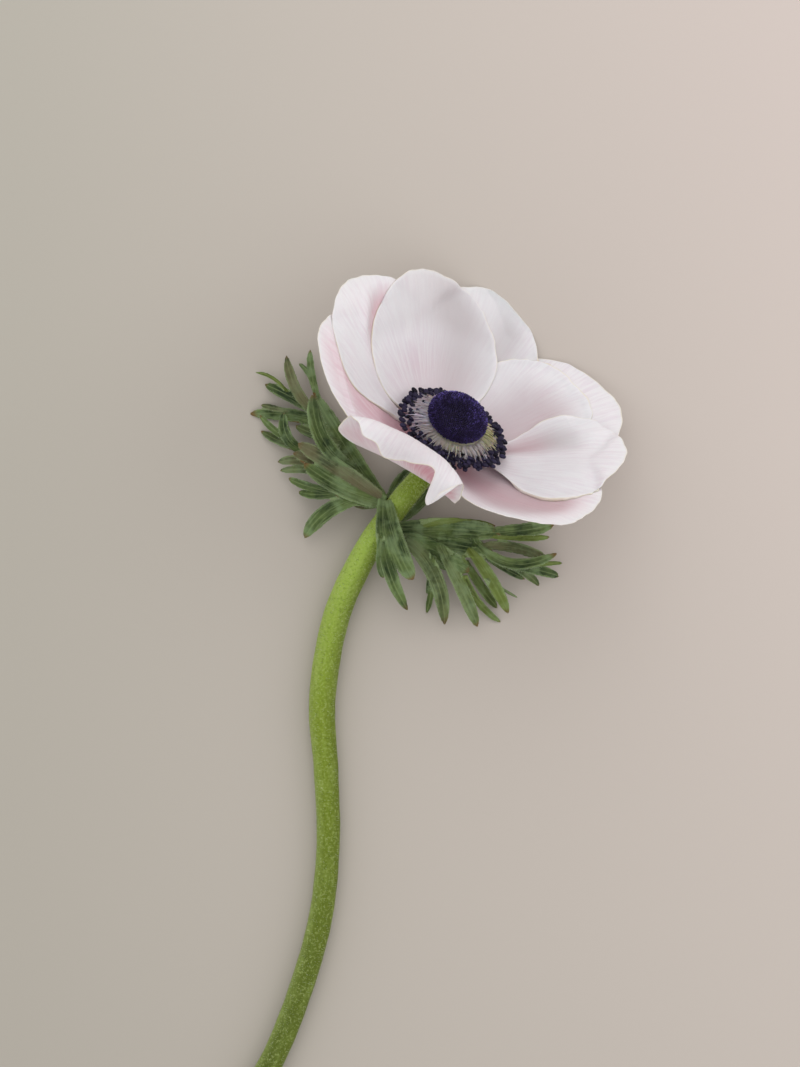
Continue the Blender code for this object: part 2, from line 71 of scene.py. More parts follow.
# --- the cup of tepals
LAYER_STEP = 1.35  # distance between overlapping tepals
ROOT_RADIUS = 0.65  # from the receptacle to a tepal's foot
CLAW = 5.2  # width of a tepal where it is attached
BLUNT_BEND = 0.22  # how far the sides of a blunt tepal bend in
LEAST_RADIUS = 6.0  # width is laid round the cup from here on
KNOT = 11.0  # spacing of the slopes, from the base out
CUP_SLOPE = (4.0, 27.0, 39.0, 35.0, 24.0)
CUP_MEAN = 29.0  # mean slope along that profile
CUP_RISE = 26.0  # mean slope round most of the cup
STEEPER, STEEP_AZ, STEEP_SPREAD = 6.3, 74.0, 48.0  # it stands steeper on the left
CUP_STEPS, FRONT_STEPS = 60, 90  # steps in which a slope is followed
# the front tepal stands up as a wall across the heading and rolls over outwards
FRONT = "tepal_front"
FRONT_KNOT = 4.4
FRONT_SLOPE = (8.0, 10.0, 24.0, 52.0, 76.0, 82.0, 62.0, -20.0, -65.0, -75.0)
FRONT_DRIFT = 8.0  # how far its middle lies left of the axis
FRONT_CURL = (5.0, 4.5)  # outward curl of its right and left corners
FRONT_TURN = 20.0  # way from its foot to full drift and curl
# name: azimuth, layer (0 is innermost), length, width, widest point, bluntness, then for the
# sides of lower and of higher azimuth their share of the width and how fast they narrow
TEPALS = {
    "tepal_top": (41.0, 0, 39.7, 39.0, 0.58, 0.0, (1.0, 1.0), (1.1, 1.1)),
    "tepal_right_low": (-76.0, 0, 39.4, 32.0, 0.67, 0.3, (0.92, 0.96), (2.6, 2.2)),
    "tepal_upper_left": (77.0, 1, 42.9, 35.0, 0.69, 0.1, (1.0, 0.92), (1.1, 2.2)),
    "tepal_right": (-38.0, 1, 33.6, 32.0, 0.60, 0.1, (1.0, 1.10), (1.2, 0.8)),
    "tepal_upper_right": (12.5, 2, 39.5, 35.0, 0.58, 0.0, (1.03, 1.0), (1.1, 1.1)),
    "tepal_bottom": (-110.0, 2, 38.2, 40.0, 0.64, 0.45, (0.78, 1.0), (1.0, 1.1)),
    "tepal_far_left": (101.5, 2, 41.2, 35.0, 0.56, 0.0, (0.97, 0.85), (1.1, 1.5)),
    "tepal_far_right": (-48.0, 3, 40.2, 39.0, 0.60, 0.1, (1.0, 1.08), (1.1, 1.1)),
    "tepal_front": (180.0, 3, 34.7, 36.0, 0.60, 0.15, (1.0, 0.92), (1.1, 1.1)),
}
# blush over the blade, blush at the base, ripple in mm
TEPAL_TINT = {
    "tepal_top": (0.05, 0.30, 0.16),
    "tepal_right_low": (0.03, 0.36, 0.16),
    "tepal_upper_left": (0.08, 0.34, 0.18),
    "tepal_right": (0.06, 0.34, 0.16),
    "tepal_upper_right": (0.03, 0.30, 0.16),
    "tepal_bottom": (0.08, 0.40, 0.20),
    "tepal_far_left": (0.12, 0.50, 0.16),
    "tepal_far_right": (0.10, 0.30, 0.20),
    "tepal_front": (0.08, 0.50, 0.16),
}
# bands along a tepal from (side, way out) to (side, way out), how wide, and how much: a fold in mm
# towards the eye, a pink blush, or painted shade, a greyer tone where the cup lies in shadow
TEPAL_FOLDS = {
    "tepal_top": ((-0.5, -0.5, -0.6, 0.8, 0.30, -0.7), (0.2, -0.6, 0.3, 0.9, 0.12, 0.3)),
    "tepal_upper_left": ((0.66, -0.8, -0.12, 0.5, 0.13, 0.8), (0.42, -0.7, -0.42, 0.5, 0.2, -0.7)),
    "tepal_far_left": ((0.85, -0.1, -0.2, 0.95, 0.12, 0.8),),
    "tepal_right": ((0.0, -0.8, -0.2, 0.5, 0.40, -0.6),),
    "tepal_right_low": ((0.72, -0.75, 0.3, 0.25, 0.26, -0.9), (0.0, -0.8, 0.15, 0.3, 0.14, 0.5)),
    "tepal_upper_right": ((-0.35, -0.2, -0.5, 0.7, 0.20, -0.8),),
    "tepal_bottom": ((0.1, -0.8, 0.1, 0.5, 0.40, -0.3), (-1.0, -0.7, -1.0, 1.2, 0.35, 1.2)),
}
# the tepals' own pink, laid on more deeply in hollows and under overlapping edges as painted shade
TEPAL_BLUSH = {
    "tepal_top": ((0.1, -1.0, 0.0, -0.2, 0.90, 0.14),),
    "tepal_upper_left": ((0.30, -0.9, -0.50, 0.45, 0.26, 0.75),),
    "tepal_far_left": ((0.0, -1.0, 0.15, 0.75, 0.50, 0.50),),
    "tepal_right": ((0.0, -1.0, -0.3, 0.5, 0.50, 0.26),),
    "tepal_right_low": ((0.72, -1.0, 0.5, -0.3, 0.32, 0.50),),
    "tepal_bottom": ((-0.25, -1.0, 0.1, 0.6, 0.42, 0.62),),
}
# painted shade: grey where a tepal lies in the shadow of the cup or of the tepals over it
TEPAL_PAINTED_SHADE = {
    "tepal_top": ((-0.5, -0.7, -0.5, 0.85, 0.40, 0.75), (0.0, 0.2, 0.0, 1.3, 1.1, 0.42)),
    "tepal_upper_left": ((0.2, -0.6, -0.4, 0.5, 0.20, 0.45),),
    "tepal_right": ((0.1, -0.9, -0.2, 0.55, 0.60, 0.75),),
    "tepal_right_low": ((0.65, -0.9, 0.45, 0.0, 0.30, 0.95), (-0.2, -0.6, -0.2, 0.7, 0.5, 0.12)),
    "tepal_front": ((-0.1, 0.0, -0.1, 1.3, 0.7, 0.45),),
    "tepal_upper_right": ((-0.3, -0.3, -0.45, 0.75, 0.24, 0.55), (0.0, -0.5, 0.0, 1.2, 1.1, 0.20)),
    "tepal_bottom": ((-0.25, -0.9, 0.05, 0.4, 0.45, 1.5),),
}
MOST_PAINTED_SHADE = 1.3
# waves across a tepal: seed, wavelengths in parts of the fan, size in mm, sideways sway
FAN_PARTS = 20  # from the middle of the fan to its side
TEPAL_WAVES = {
    "notch": (1, (3.1, 5.3, 9.0), 0.12, 0.0),
    "sweep": (2, (14.0, 23.0), 0.45, 0.0),
    "ripple": (3, (11.0, 17.0), 1.0, 0.25),
    "pleat": (4, (1.1, 1.5, 2.1), 0.025, 0.02),
    "frill": (5, (2.6, 4.1), 0.06, 0.3),
    "lip": (7, (6.0, 13.0), 0.8, 0.0),
}
# how far the front tepal's lip runs out: mm all along it, mm that come in from one side
# position to another, and a flap by its right corner (position, half width, mm)
LIP_REACH = 1.5
LIP_STEPS = ((0.2, 0.9, -1.0), (0.05, -0.35, -2.2), (-0.78, -1.0, 2.4))
LIP_FLAP = (-0.88, 0.11, 6.5)
FOLD_BLUSH_AND_SHADE = (-0.12, 0.2)  # way out and spread of the pink under its lip, partly painted shade
BACK_BLUSH = (0.8, 0.14)  # share and extra blush of a tepal's back
BASE_FADE = 9.0  # mm over which the blush at the base fades
BLADE_COLS, BLADE_ROWS = 96, 112
BLADE_THICK, RIM_THICK, RIM_WIDTH = 0.34, 0.12, 4.0
FLOOR_GAP = 0.02  # least height of soft pieces over the floor
FAN_FOOT = 4.0  # veins spread from this far below the base
FAN_HALF = 0.63  # half angle of the fan of veins
# a margin sinks onto the tepals below: how far it looks, the most it sinks, what it leaves,
# the grid steps round a point that it minds, and passes of blur on the way and at the end
SETTLE_REACH, SETTLE_MOST, SETTLE_CLEAR = 5.0, 2.2, 0.08
SETTLE_STEPS, SETTLE_BLUR, SETTLE_END_BLUR = 6, 30, 12
# the rim thickens downwards where a narrow slit is left: its width, the deepest slit that it
# closes, how far it goes in, and passes of blur
SKIRT_WIDTH, SKIRT_DEPTH, SKIRT_LAP, SKIRT_BLUR = 1.6, 1.1, 0.06, 3
NORMAL_BLUR = 6

# --- stem: x, y, z of the centre line and radius, cut end first
STEM = (
    (-61.0, -184.0, 2.93, 3.10), (-52.0, -170.0, 2.93, 3.10), (-43.0, -154.5, 2.88, 3.05),
    (-36.2, -137.0, 2.88, 3.05), (-31.4, -119.0, 2.83, 3.00), (-29.7, -101.0, 2.78, 2.95),
    (-30.2, -83.0, 2.93, 3.10), (-31.2, -65.0, 3.17, 3.35), (-27.8, -44.5, 3.4, 3.40),
    (-21.5, -30.0, 4.4, 3.30), (-15.2, -20.0, 6.6, 3.20), (-9.2, -12.2, 10.9, 3.00),
    (-4.2, -6.6, 15.2, 2.95),
)
# height along the flower's axis and radius
RECEPTACLE = ((-5.4, 3.0), (-4.1, 3.6), (-2.7, 4.4), (-1.4, 5.1), (0.0, 5.7), (0.7, 5.9),
              (1.2, 5.5))
STEM_SIDES, STEM_STATIONS, TOP_STATIONS = 48, 420, 22
RIB_COUNT, RIB_DEPTH, RIB_TWIST = 9, 0.012, 30.0  # depths are shares of the radius
LUMP_DEPTH, LUMP_LENGTHS = 0.012, (7.0, 13.0, 31.0)
# the cut face, from the skin in to the sunken pith: share of the radius and depth
CUT_FACE = ((0.97, -0.05), (0.90, 0.02), (0.70, 0.05), (0.45, 0.10), (0.33, 0.45),
            (0.26, 1.2), (0.02, 1.5))
# short hairs: how many at most, their lengths and the radius of their roots
STEM_HAIRS, STEM_HAIR_LENGTHS, STEM_HAIR_RADIUS = 5200, (0.35, 0.8), 0.028
LEAF_HAIRS, LEAF_HAIR_LENGTHS, LEAF_HAIR_RADIUS = 2600, (0.25, 0.55), 0.02

# --- eye
DOME_RADIUS, DOME_HALF_HEIGHT, DOME_CENTRE, DOME_SHIFT = 7.4, 3.8, 9.2, 0.6
DOME_RINGS, DOME_SIDES = 26, 48
DOME_OPEN, STYLE_FREE = 0.62, 0.75  # angles from its foot left open, and without styles
# a style on the dome: height, radius and how pale it is there
STYLE_COUNT, STYLE_SIDES = 2100, 5
STYLE = ((-0.10, 0.17, 0.0), (0.18, 0.165, 0.25), (0.42, 0.11, 0.9), (0.48, 0.02, 1.0))
# the neck under the dome, and the ribbed skirt that the stamens grow from: radius and height
NECK = ((4.15, 1.55), (4.3, 2.6), (4.9, 4.1), (5.2, 5.2))
SKIRT = ((4.7, 1.6), (5.6, 6.9), (6.5, 7.35), (7.2, 7.0), (8.1, 6.2), (9.1, 5.3), (10.0, 4.4),
         (10.4, 3.6), (9.6, 2.9), (7.2, 1.5))
SKIRT_SIDES, SKIRT_TOP, SKIRT_FALL = 168, (7.0, 7.1), 0.85
RIBBED = 8  # the skirt's ribs and shift end at this ring
# threads are lilac towards the first two directions and olive towards the third
LILAC_SIDE, LILAC_BACK, OLIVE_SIDE = 104.0, 239.0, 295.0
NEAR_SIDE = math.radians(215.0)  # where stamens crowd and lie closer in
RING_SQUEEZE = 0.87  # the ring of stamens is narrower up and down
# rows of stamens: count, reach, height of the anther, length of the anther
STAMEN_ROWS = ((18, 10.6, 5.8, 1.4), (68, 12.0, 5.4, 1.65), (82, 13.2, 5.0, 1.8),
               (74, 14.3, 4.6, 1.85))
STERILE_COUNT = 260
THREAD_RINGS, THREAD_SIDES, THREAD_RADIUS, THREAD_TAPER = 7, 5, 0.12, 0.03
ANTHER_RINGS, ANTHER_SIDES, ANTHER_WAIST = 8, 8, 0.24

# --- bracts: (root, bend, tip, width); each row is one lobe of the divided leaf
LEFT_BRACT = (
    ((-15.5, -15.0, 8.8), (-26.0, -1.0, 6.5), (-33.2, 12.5, 4.5), 5.0),
    ((-31.8, 10.0, 4.5), (-34.5, 17.5, 4.0), (-34.3, 23.8, 3.0), 2.2),
    ((-33.0, 13.5, 4.4), (-34.5, 18.5, 3.4), (-37.2, 20.3, 2.2), 1.6),
    ((-32.0, 7.0, 4.6), (-38.8, 11.8, 6.5), (-40.3, 22.2, 5.0), 3.2),
    ((-33.0, 8.0, 4.4), (-40.0, 12.5, 4.0), (-45.8, 15.0, 1.2), 3.2),
    ((-40.5, 13.6, 3.6), (-44.0, 17.8, 3.2), (-48.3, 18.0, 1.4), 1.1),
    ((-29.5, 4.5, 5.0), (-38.5, 8.5, 1.2), (-49.7, 7.5, 0.4), 3.8),
    ((-40.5, 8.2, 2.0), (-44.0, 9.0, 1.7), (-46.8, 9.8, 1.2), 1.8),
    ((-24.0, -6.5, 8.0), (-33.5, -1.5, 4.5), (-39.0, -1.0, 3.2), 3.6),
    ((-36.5, -1.0, 3.4), (-43.5, 2.5, 3.2), (-47.2, 7.3, 1.8), 2.0),
    ((-36.5, -1.6, 3.4), (-42.8, 0.3, 1.4), (-46.8, 3.2, 0.4), 2.5),
    ((-36.0, -1.8, 3.6), (-41.8, 0.5, 6.0), (-40.8, 7.8, 7.0), 3.4),
    ((-23.0, -7.0, 8.6), (-33.5, -1.2, 15.0), (-33.5, 12.0, 14.0), 4.6),
    ((-26.5, 0.5, 6.2), (-34.0, 2.0, 3.2), (-38.0, 4.5, 2.6), 2.8),
    ((-15.5, -14.8, 9.4), (-27.8, -5.0, 11.2), (-37.3, -0.2, 11.0), 5.0),
    ((-23.5, -9.2, 9.6), (-31.0, -5.2, 8.6), (-38.5, -2.5, 8.0), 4.4),
    ((-28.5, -6.2, 8.4), (-36.5, -3.2, 6.0), (-42.5, -4.8, 4.0), 3.0),
    ((-28.5, -8.0, 8.8), (-36.5, -6.0, 5.2), (-42.0, -7.0, 2.6), 2.2),
    ((-15.5, -15.2, 9.4), (-27.0, -12.5, 11.6), (-35.8, -5.2, 10.0), 5.0),
    ((-26.0, -12.8, 9.4), (-35.0, -11.5, 6.0), (-39.8, -8.8, 3.6), 2.6),
    ((-27.0, -12.8, 9.2), (-32.8, -13.8, 6.2), (-37.3, -12.3, 3.6), 2.6),
    ((-21.0, -13.8, 9.4), (-31.5, -15.8, 8.0), (-35.7, -24.0, 2.6), 4.4),
    ((-15.0, -15.4, 8.8), (-21.0, -14.4, 9.4), (-27.5, -12.8, 9.2), 4.0),
    ((-16.5, -15.4, 8.2), (-19.5, -16.6, 5.6), (-23.5, -15.6, 4.2), 1.9),
    ((-15.8, -14.2, 10.4), (-17.6, -29.5, 16.4), (-9.5, -42.3, 8.6), 4.0),
    ((-15.2, -14.6, 10.8), (-13.2, -26.5, 16.2), (-8.2, -34.6, 11.6), 5.6),
    ((-16.3, -24.0, 13.4), (-17.3, -31.0, 12.2), (-15.6, -34.2, 9.6), 2.0),
)
RIGHT_BRACT = (
    ((-12.4, -22.2, 7.6), (0.5, -21.0, 9.6), (13.5, -22.8, 8.6), 6.2),
    ((-12.2, -22.8, 7.4), (-0.3, -25.0, 9.6), (11.5, -27.5, 8.2), 6.5),
    ((-12.0, -23.2, 7.2), (-1.5, -27.5, 9.6), (6.0, -32.5, 8.4), 6.5),
    ((-5.0, -21.2, 8.3), (4.0, -19.0, 7.6), (12.8, -21.0, 6.0), 2.0),
    ((9.5, -22.8, 8.8), (19.8, -22.5, 8.4), (27.5, -20.6, 5.0), 4.0),
    ((12.5, -23.6, 8.4), (21.0, -24.2, 6.6), (26.5, -23.8, 4.6), 2.0),
    ((8.0, -25.6, 8.8), (16.5, -34.5, 11.0), (28.2, -27.8, 8.0), 3.2),
    ((10.0, -26.0, 8.4), (18.5, -25.2, 4.6), (26.5, -29.8, 3.0), 3.2),
    ((20.0, -31.2, 8.8), (26.0, -30.2, 5.6), (29.7, -30.4, 3.6), 1.4),
    ((15.5, -30.8, 9.0), (24.0, -31.8, 5.4), (28.8, -33.8, 3.2), 3.0),
    ((10.5, -28.2, 9.0), (20.5, -31.5, 6.4), (23.8, -36.2, 3.0), 2.6),
    ((8.5, -27.5, 8.6), (15.5, -32.5, 4.4), (20.2, -34.5, 2.0), 2.0),
    ((6.0, -26.5, 8.8), (12.0, -34.0, 9.8), (16.0, -43.2, 3.0), 3.6),
    ((11.0, -34.5, 7.6), (15.0, -37.5, 4.2), (18.5, -39.2, 2.6), 0.9),
    ((5.0, -30.0, 8.2), (9.0, -37.0, 3.6), (13.2, -41.8, 0.5), 2.8),
    ((5.0, -33.5, 8.6), (7.5, -41.2, 2.8), (14.2, -45.5, 0.4), 2.2),
    ((-1.0, -27.0, 9.2), (4.5, -37.0, 10.6), (8.2, -46.6, 3.6), 3.8),
    ((-11.5, -23.2, 7.8), (-0.5, -30.8, 13.4), (-0.2, -46.0, 3.8), 4.4),
    ((-3.0, -29.0, 9.8), (-3.0, -37.5, 4.6), (-4.8, -43.2, 1.1), 2.0),
    ((-3.4, -29.0, 9.2), (-4.4, -35.2, 5.0), (-4.6, -38.4, 2.4), 1.3),
)
BACK_BRACT = (
    ((-14.2, -20.0, 2.9), (-14.0, -11.5, 1.6), (-8.5, -6.5, 1.0), 4.0),
    ((-14.0, -20.0, 2.9), (-7.5, -16.5, 1.4), (-4.0, -11.5, 0.9), 4.6),
    ((-13.6, -19.4, 2.9), (-7.0, -10.0, 1.4), (-3.0, -4.5, 1.0), 4.2),
)
# lobes that are brownish (low) or yellowish (high), by their row
TINTED = {
    "bract_left": {0: 0.5, 12: 0.45, 14: 0.0, 15: 0.05, 16: 0.1, 18: 0.5, 21: 0.5, 24: 0.4,
                   25: 0.45},
    "bract_right": {14: 0.9, 15: 0.95, 3: 1.0, 18: 0.85},
    "bract_back": {},
}
# points along and round a lobe's tube, and along the line that leaf points are placed by
LOBE_STATIONS, LOBE_SIDES, LOBE_SAMPLES = 26, 16, 40
LEAST_HALF = 0.3  # least half width that a share is taken of
LEAF_THICK = 0.8
LEAF_VOXEL = 0.27
MIDRIB_DEPTH, MIDRIB_WIDTH = 0.10, 0.22
FURROW_DEPTH, FURROW_SPACING = 0.035, 0.85


# ------------------------------------------------------------------ small helpers
def smooth(x, low=0.0, high=1.0):
    """An S-shaped rise from 0 at low to 1 at high."""
    x = np.clip((x - low) / (high - low), 0.0, 1.0)
    return x * x * (3 - 2 * x)


def catmull(values, t):
    """Smooth curve through evenly spaced values; t runs from 0 to 1."""
    values = np.asarray(values, float)
    last = len(values) - 1
    x = np.clip(t, 0.0, 1.0) * last
    i = np.minimum(x.astype(int), last - 1)
    f = x - i
    a, b = values[np.maximum(i - 1, 0)], values[i]
    c, d = values[i + 1], values[np.minimum(i + 2, last)]
    return 0.5 * (2 * b + (c - a) * f + (2 * a - 5 * b + 4 * c - d) * f ** 2
                  + (3 * b - a - 3 * c + d) * f ** 3)


def circle(count, shift=0.0):
    """Evenly spaced angles all round."""
    return (np.arange(count) + shift) * 2 * math.pi / count


def waves(x, seed, lengths, y=0.0, sway=0.0):
    """Sum of sines of these wavelengths with seeded phases, between about -1 and 1."""
    rng = np.random.default_rng(seed)
    total = 0.0
    for length in lengths:
        phase, drift = rng.uniform(0, 2 * math.pi), rng.uniform(-1, 1)
        total = total + np.sin(2 * math.pi * (x + sway * drift * y) / length + phase)
    return total / math.sqrt(len(lengths))


def to_world(x, y, h):
    """Flower coordinates to millimetres above the table."""
    return (BASE + np.asarray(x)[..., None] * DOWNHILL + np.asarray(y)[..., None] * ACROSS
            + np.asarray(h)[..., None] * AXIS)


def unit(vectors):
    return vectors / np.maximum(np.linalg.norm(vectors, axis=-1, keepdims=True), 1e-12)


def quadratic(root, bend, tip, count):
    """Points on a curve from the root to the tip, drawn towards the bend."""
    t = np.linspace(0, 1, count)[:, None]
    return (1 - t) ** 2 * root + 2 * t * (1 - t) * bend + t ** 2 * tip


def ring(centre, aside, other, radius, sides):
    """Points round a centre in the plane of two directions."""
    b = circle(sides)[:, None]
    return centre + (np.cos(b) * aside + np.sin(b) * other) * radius


def link(name, data):
    """A new object in the scene."""
    obj = bpy.data.objects.new(name, data)
    bpy.context.scene.collection.objects.link(obj)
    return obj


def make_piece(name, points, faces, mats, uvs=None, mat_index=None):
    """A smooth mesh object from design points in millimetres, with UV layers per vertex."""
    mesh = bpy.data.meshes.new(name)
    coords = (np.asarray(points, float).reshape(-1, 3) - CENTRE) * MM
    mesh.from_pydata(coords.tolist(), [], [tuple(int(i) for i in f) for f in faces])
    for mat in mats:
        mesh.materials.append(mat)
    if mat_index is not None:
        mesh.polygons.foreach_set("material_index", np.asarray(mat_index, dtype=np.int32))
    set_uvs(mesh, uvs or {})
    mesh.shade_smooth()
    mesh.update()
    return link(name, mesh)


def set_uvs(mesh, uvs):
    loops = np.empty(len(mesh.loops), dtype=np.int32)
    mesh.loops.foreach_get("vertex_index", loops)
    for layer, values in uvs.items():
        uv = mesh.uv_layers.new(name=layer)
        uv.data.foreach_set("uv", np.asarray(values, dtype=np.float32)[loops].ravel())


def dress(obj, node):
    """The piece stands for a CAD node and rides with the flower."""
    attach(obj, "root")
    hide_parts(node)


def grid_faces(rows, cols, first=0, flip=False):
    quads = [(first + r * cols + c, first + r * cols + c + 1, first + (r + 1) * cols + c + 1,
              first + (r + 1) * cols + c) for r in range(rows - 1) for c in range(cols - 1)]
    return [q[::-1] for q in quads] if flip else quads


def tube_faces(rings, sides, first=0, caps=True):
    faces = [(first + r * sides + s, first + (r + 1) * sides + s,
              first + (r + 1) * sides + (s + 1) % sides, first + r * sides + (s + 1) % sides)
             for r in range(rings - 1) for s in range(sides)]
    if caps:
        faces.append(tuple(range(first, first + sides)))
        faces.append(tuple(reversed(range(first + (rings - 1) * sides, first + rings * sides))))
    return faces


class Tubes:
    """Points, faces, materials and marks of a piece that is built from many small tubes."""

    def __init__(self):
        self.points, self.faces, self.kinds, self.marks = [], [], [], []

    def skin(self, faces, kind):
        self.faces += faces
        self.kinds += [kind] * len(faces)

    def tube(self, rings, kind, marks):
        """A capped tube through these rings of points, with one mark for each ring."""
        sides = len(rings[0])
        self.skin(tube_faces(len(rings), sides, len(self.points)), kind)
        for points, mark in zip(rings, marks):
            self.points += list(points)
            self.marks += [mark] * sides


# ------------------------------------------------------------------ node graphs
class Graph:
    """One material's node graph; each call adds a node and returns its output."""

    def __init__(self, name):
        self.mat = bpy.data.materials.new(name)
        self.mat.use_nodes = True
        self.tree = self.mat.node_tree
        self.shader = self.tree.nodes["Principled BSDF"]

    def put(self, socket, value):
        if isinstance(value, bpy.types.NodeSocket):
            self.tree.links.new(value, socket)
        elif isinstance(value, tuple) and len(value) == 3 and socket.type == "RGBA":
            socket.default_value = (*value, 1.0)
        else:
            socket.default_value = value

    def node(self, kind, inputs, output=0, **settings):
        node = self.tree.nodes.new(kind)
        for key, value in settings.items():
            setattr(node, key, value)
        for key, value in inputs.items():
            self.put(node.inputs[key], value)
        return node.outputs[output]

    def math(self, operation, a, b=0.0, clamp=False):
        return self.node("ShaderNodeMath", {0: a, 1: b}, operation=operation, use_clamp=clamp)

    def times(self, a, b):
        return self.math("MULTIPLY", a, b)

    def plus(self, a, b, clamp=False):
        return self.math("ADD", a, b, clamp)

    def mix(self, share, a, b):
        return self.node("ShaderNodeMix", {"Factor": share, 6: a, 7: b}, output=2,
                         data_type="RGBA")

    def coats(self, colour, *coats):
        """A colour under coats of other colours, each laid on by its share."""
        for share, coat in coats:
            colour = self.mix(share, colour, coat)
        return colour

    def ramp(self, value, *stops):
        """Value remapped through stops, each a position and a grey or a colour."""
        node = self.tree.nodes.new("ShaderNodeValToRGB")
        self.put(node.inputs[0], value)
        elements = node.color_ramp.elements
        while len(elements) < len(stops):
            elements.new(0.5)
        for element, (place, grey) in zip(elements, stops):
            element.position = place
            element.color = (grey, grey, grey, 1.0) if isinstance(grey, float) else (*grey, 1.0)
        return node.outputs[0]

    def noise(self, vector, scale, detail=2.0, rough=0.5, distortion=0.0):
        return self.node("ShaderNodeTexNoise", {"Vector": vector, "Scale": scale, "Detail": detail,
                                                "Roughness": rough, "Distortion": distortion})

    def uv(self, layer):
        """The two numbers of a UV layer and the vector itself."""
        node = self.tree.nodes.new("ShaderNodeUVMap")
        node.uv_map = layer
        split = self.tree.nodes.new("ShaderNodeSeparateXYZ")
        self.tree.links.new(node.outputs[0], split.inputs[0])
        return split.outputs[0], split.outputs[1], node.outputs[0]

    def stretch(self, vector, scale):
        return self.node("ShaderNodeMapping", {"Vector": vector, "Scale": scale})

    def place(self):
        return self.node("ShaderNodeTexCoord", {}, output=3)

    def bump(self, height, strength, distance, normal=None):
        inputs = {"Height": height, "Strength": strength, "Distance": distance}
        if normal is not None:
            inputs["Normal"] = normal
        return self.node("ShaderNodeBump", inputs)

    def finish(self, **sockets):
        for key, value in sockets.items():
            self.put(self.shader.inputs[key.replace("_", " ")], value)
        return self.mat


def petal_material():
    """White with a lilac cast, pink where blushed, fine veins that fan out, painted shade where
    the cup lies in shadow, a margin painted paler as painted light, and a cream rim.
    """
    g = Graph("petal")
    blush, rim, _ = g.uv("mask")
    painted_shade, _, _ = g.uv("tone")
    _, _, fan = g.uv("fan")
    streak = g.noise(g.stretch(fan, (32.0, 0.9, 1.0)), 1.0, 4.0, 0.65, 0.15)
    fine = g.noise(g.stretch(fan, (75.0, 2.2, 1.0)), 1.0, 2.0, 0.5)
    cloud = g.noise(g.place(), 70.0, 3.0, 0.55)
    cells = g.noise(g.place(), 2600.0, 1.0, 0.5)
    patch = g.ramp(cloud, (0.35, 0.25), (0.65, 1.0))
    veins = g.times(g.ramp(streak, (0.42, 0.0), (0.60, 1.0)), patch)
    # pink blush: the tepals' own pink, in places deepened as painted shade
    pinker = g.times(blush, g.plus(0.85, g.times(veins, 0.35)))
    pinker = g.plus(pinker, g.times(g.math("SUBTRACT", cloud, 0.5), 0.12), clamp=True)
    # painted light: the thin margin paler, as where light comes through it
    painted_rim_light = g.ramp(rim, (0.0, 0.5), (0.30, 0.0))
    cream = g.times(g.ramp(rim, (0.0, 1.0), (0.08, 0.0)), patch)
    # the two shade coats are painted shade: greyer, then darker, where the cup lies in shadow
    colour = g.coats((0.775, 0.757, 0.785), (veins, (0.715, 0.660, 0.715)),
                     (painted_shade, (0.575, 0.548, 0.562)), (pinker, (0.600, 0.320, 0.375)),
                     (g.times(painted_shade, 0.28), (0.390, 0.345, 0.365)),
                     (painted_rim_light, (0.790, 0.775, 0.800)), (cream, (0.740, 0.670, 0.500)))
    height = g.plus(g.times(streak, 0.7), g.times(fine, 0.3))
    return g.finish(Base_Color=colour, Roughness=g.plus(0.48, g.times(fine, 0.2)),
                    Normal=g.bump(cells, 0.08, 0.0001, g.bump(height, 0.2, 0.0003)),
                    Subsurface_Weight=0.35, Subsurface_Radius=(1.0, 0.80, 0.82),
                    Subsurface_Scale=0.0010, Specular_IOR_Level=0.28, Sheen_Weight=0.10,
                    Sheen_Roughness=0.4)


def dome_material():
    """Near black between the styles, their tips violet-blue, with painted highlight: paler
    violet-blue tips, more of them on one side.
    """
    g = Graph("pistil_violet")
    tip, painted_highlight, _ = g.uv("mask")
    blotch = g.ramp(g.noise(g.place(), 260.0, 3.0, 0.6), (0.35, 0.1), (0.65, 1.0))
    base = g.mix(blotch, (0.003, 0.002, 0.006), (0.009, 0.006, 0.020))
    # painted highlight: tips paler violet-blue by their share of it
    tips = g.mix(g.times(painted_highlight, blotch), (0.024, 0.015, 0.056), (0.260, 0.190, 0.780))
    return g.finish(Base_Color=g.mix(tip, base, tips), Roughness=0.45, Specular_IOR_Level=0.12,
                    Sheen_Weight=0.03, Sheen_Roughness=0.35, Sheen_Tint=(0.45, 0.40, 0.95))


def anther_material():
    g = Graph("anther_navy")
    # painted highlight: violet glints, more on some anthers than others
    painted_highlight, _, _ = g.uv("mask")
    grain = g.noise(g.place(), 2400.0, 2.0, 0.6)
    colour = g.mix(g.times(painted_highlight, grain), (0.004, 0.003, 0.007), (0.055, 0.045, 0.110))
    return g.finish(Base_Color=colour, Roughness=g.plus(0.34, g.times(grain, 0.3)),
                    Normal=g.bump(grain, 0.5, 0.0001), Specular_IOR_Level=0.14)


def filament_material():
    """Threads and their skirt: olive by the dome, cream, then lilac white, finely ribbed."""
    g = Graph("filament_cream")
    kind, along, _ = g.uv("mask")
    _, _, rib = g.uv("ribs")
    speck = g.noise(g.place(), 1500.0, 2.0, 0.5)
    ribs = g.noise(rib, 9.0, 3.0, 0.7)
    tone = g.ramp(kind, (0.0, (0.30, 0.29, 0.08)), (0.20, (0.52, 0.51, 0.27)),
                  (0.42, (0.40, 0.36, 0.30)), (0.80, (0.56, 0.51, 0.60)))
    colour = g.coats(tone, (g.ramp(ribs, (0.45, 0.0), (0.70, 0.7)), (0.22, 0.17, 0.20)),
                     (g.ramp(along, (0.60, 0.0), (1.0, 0.75)), (0.10, 0.07, 0.18)),
                     (g.ramp(speck, (0.5, 0.0), (0.75, 0.4)), (0.30, 0.25, 0.32)))
    return g.finish(Base_Color=colour, Roughness=0.5, Subsurface_Weight=0.2,
                    Normal=g.bump(ribs, 0.5, 0.0002), Subsurface_Scale=0.001,
                    Specular_IOR_Level=0.35)


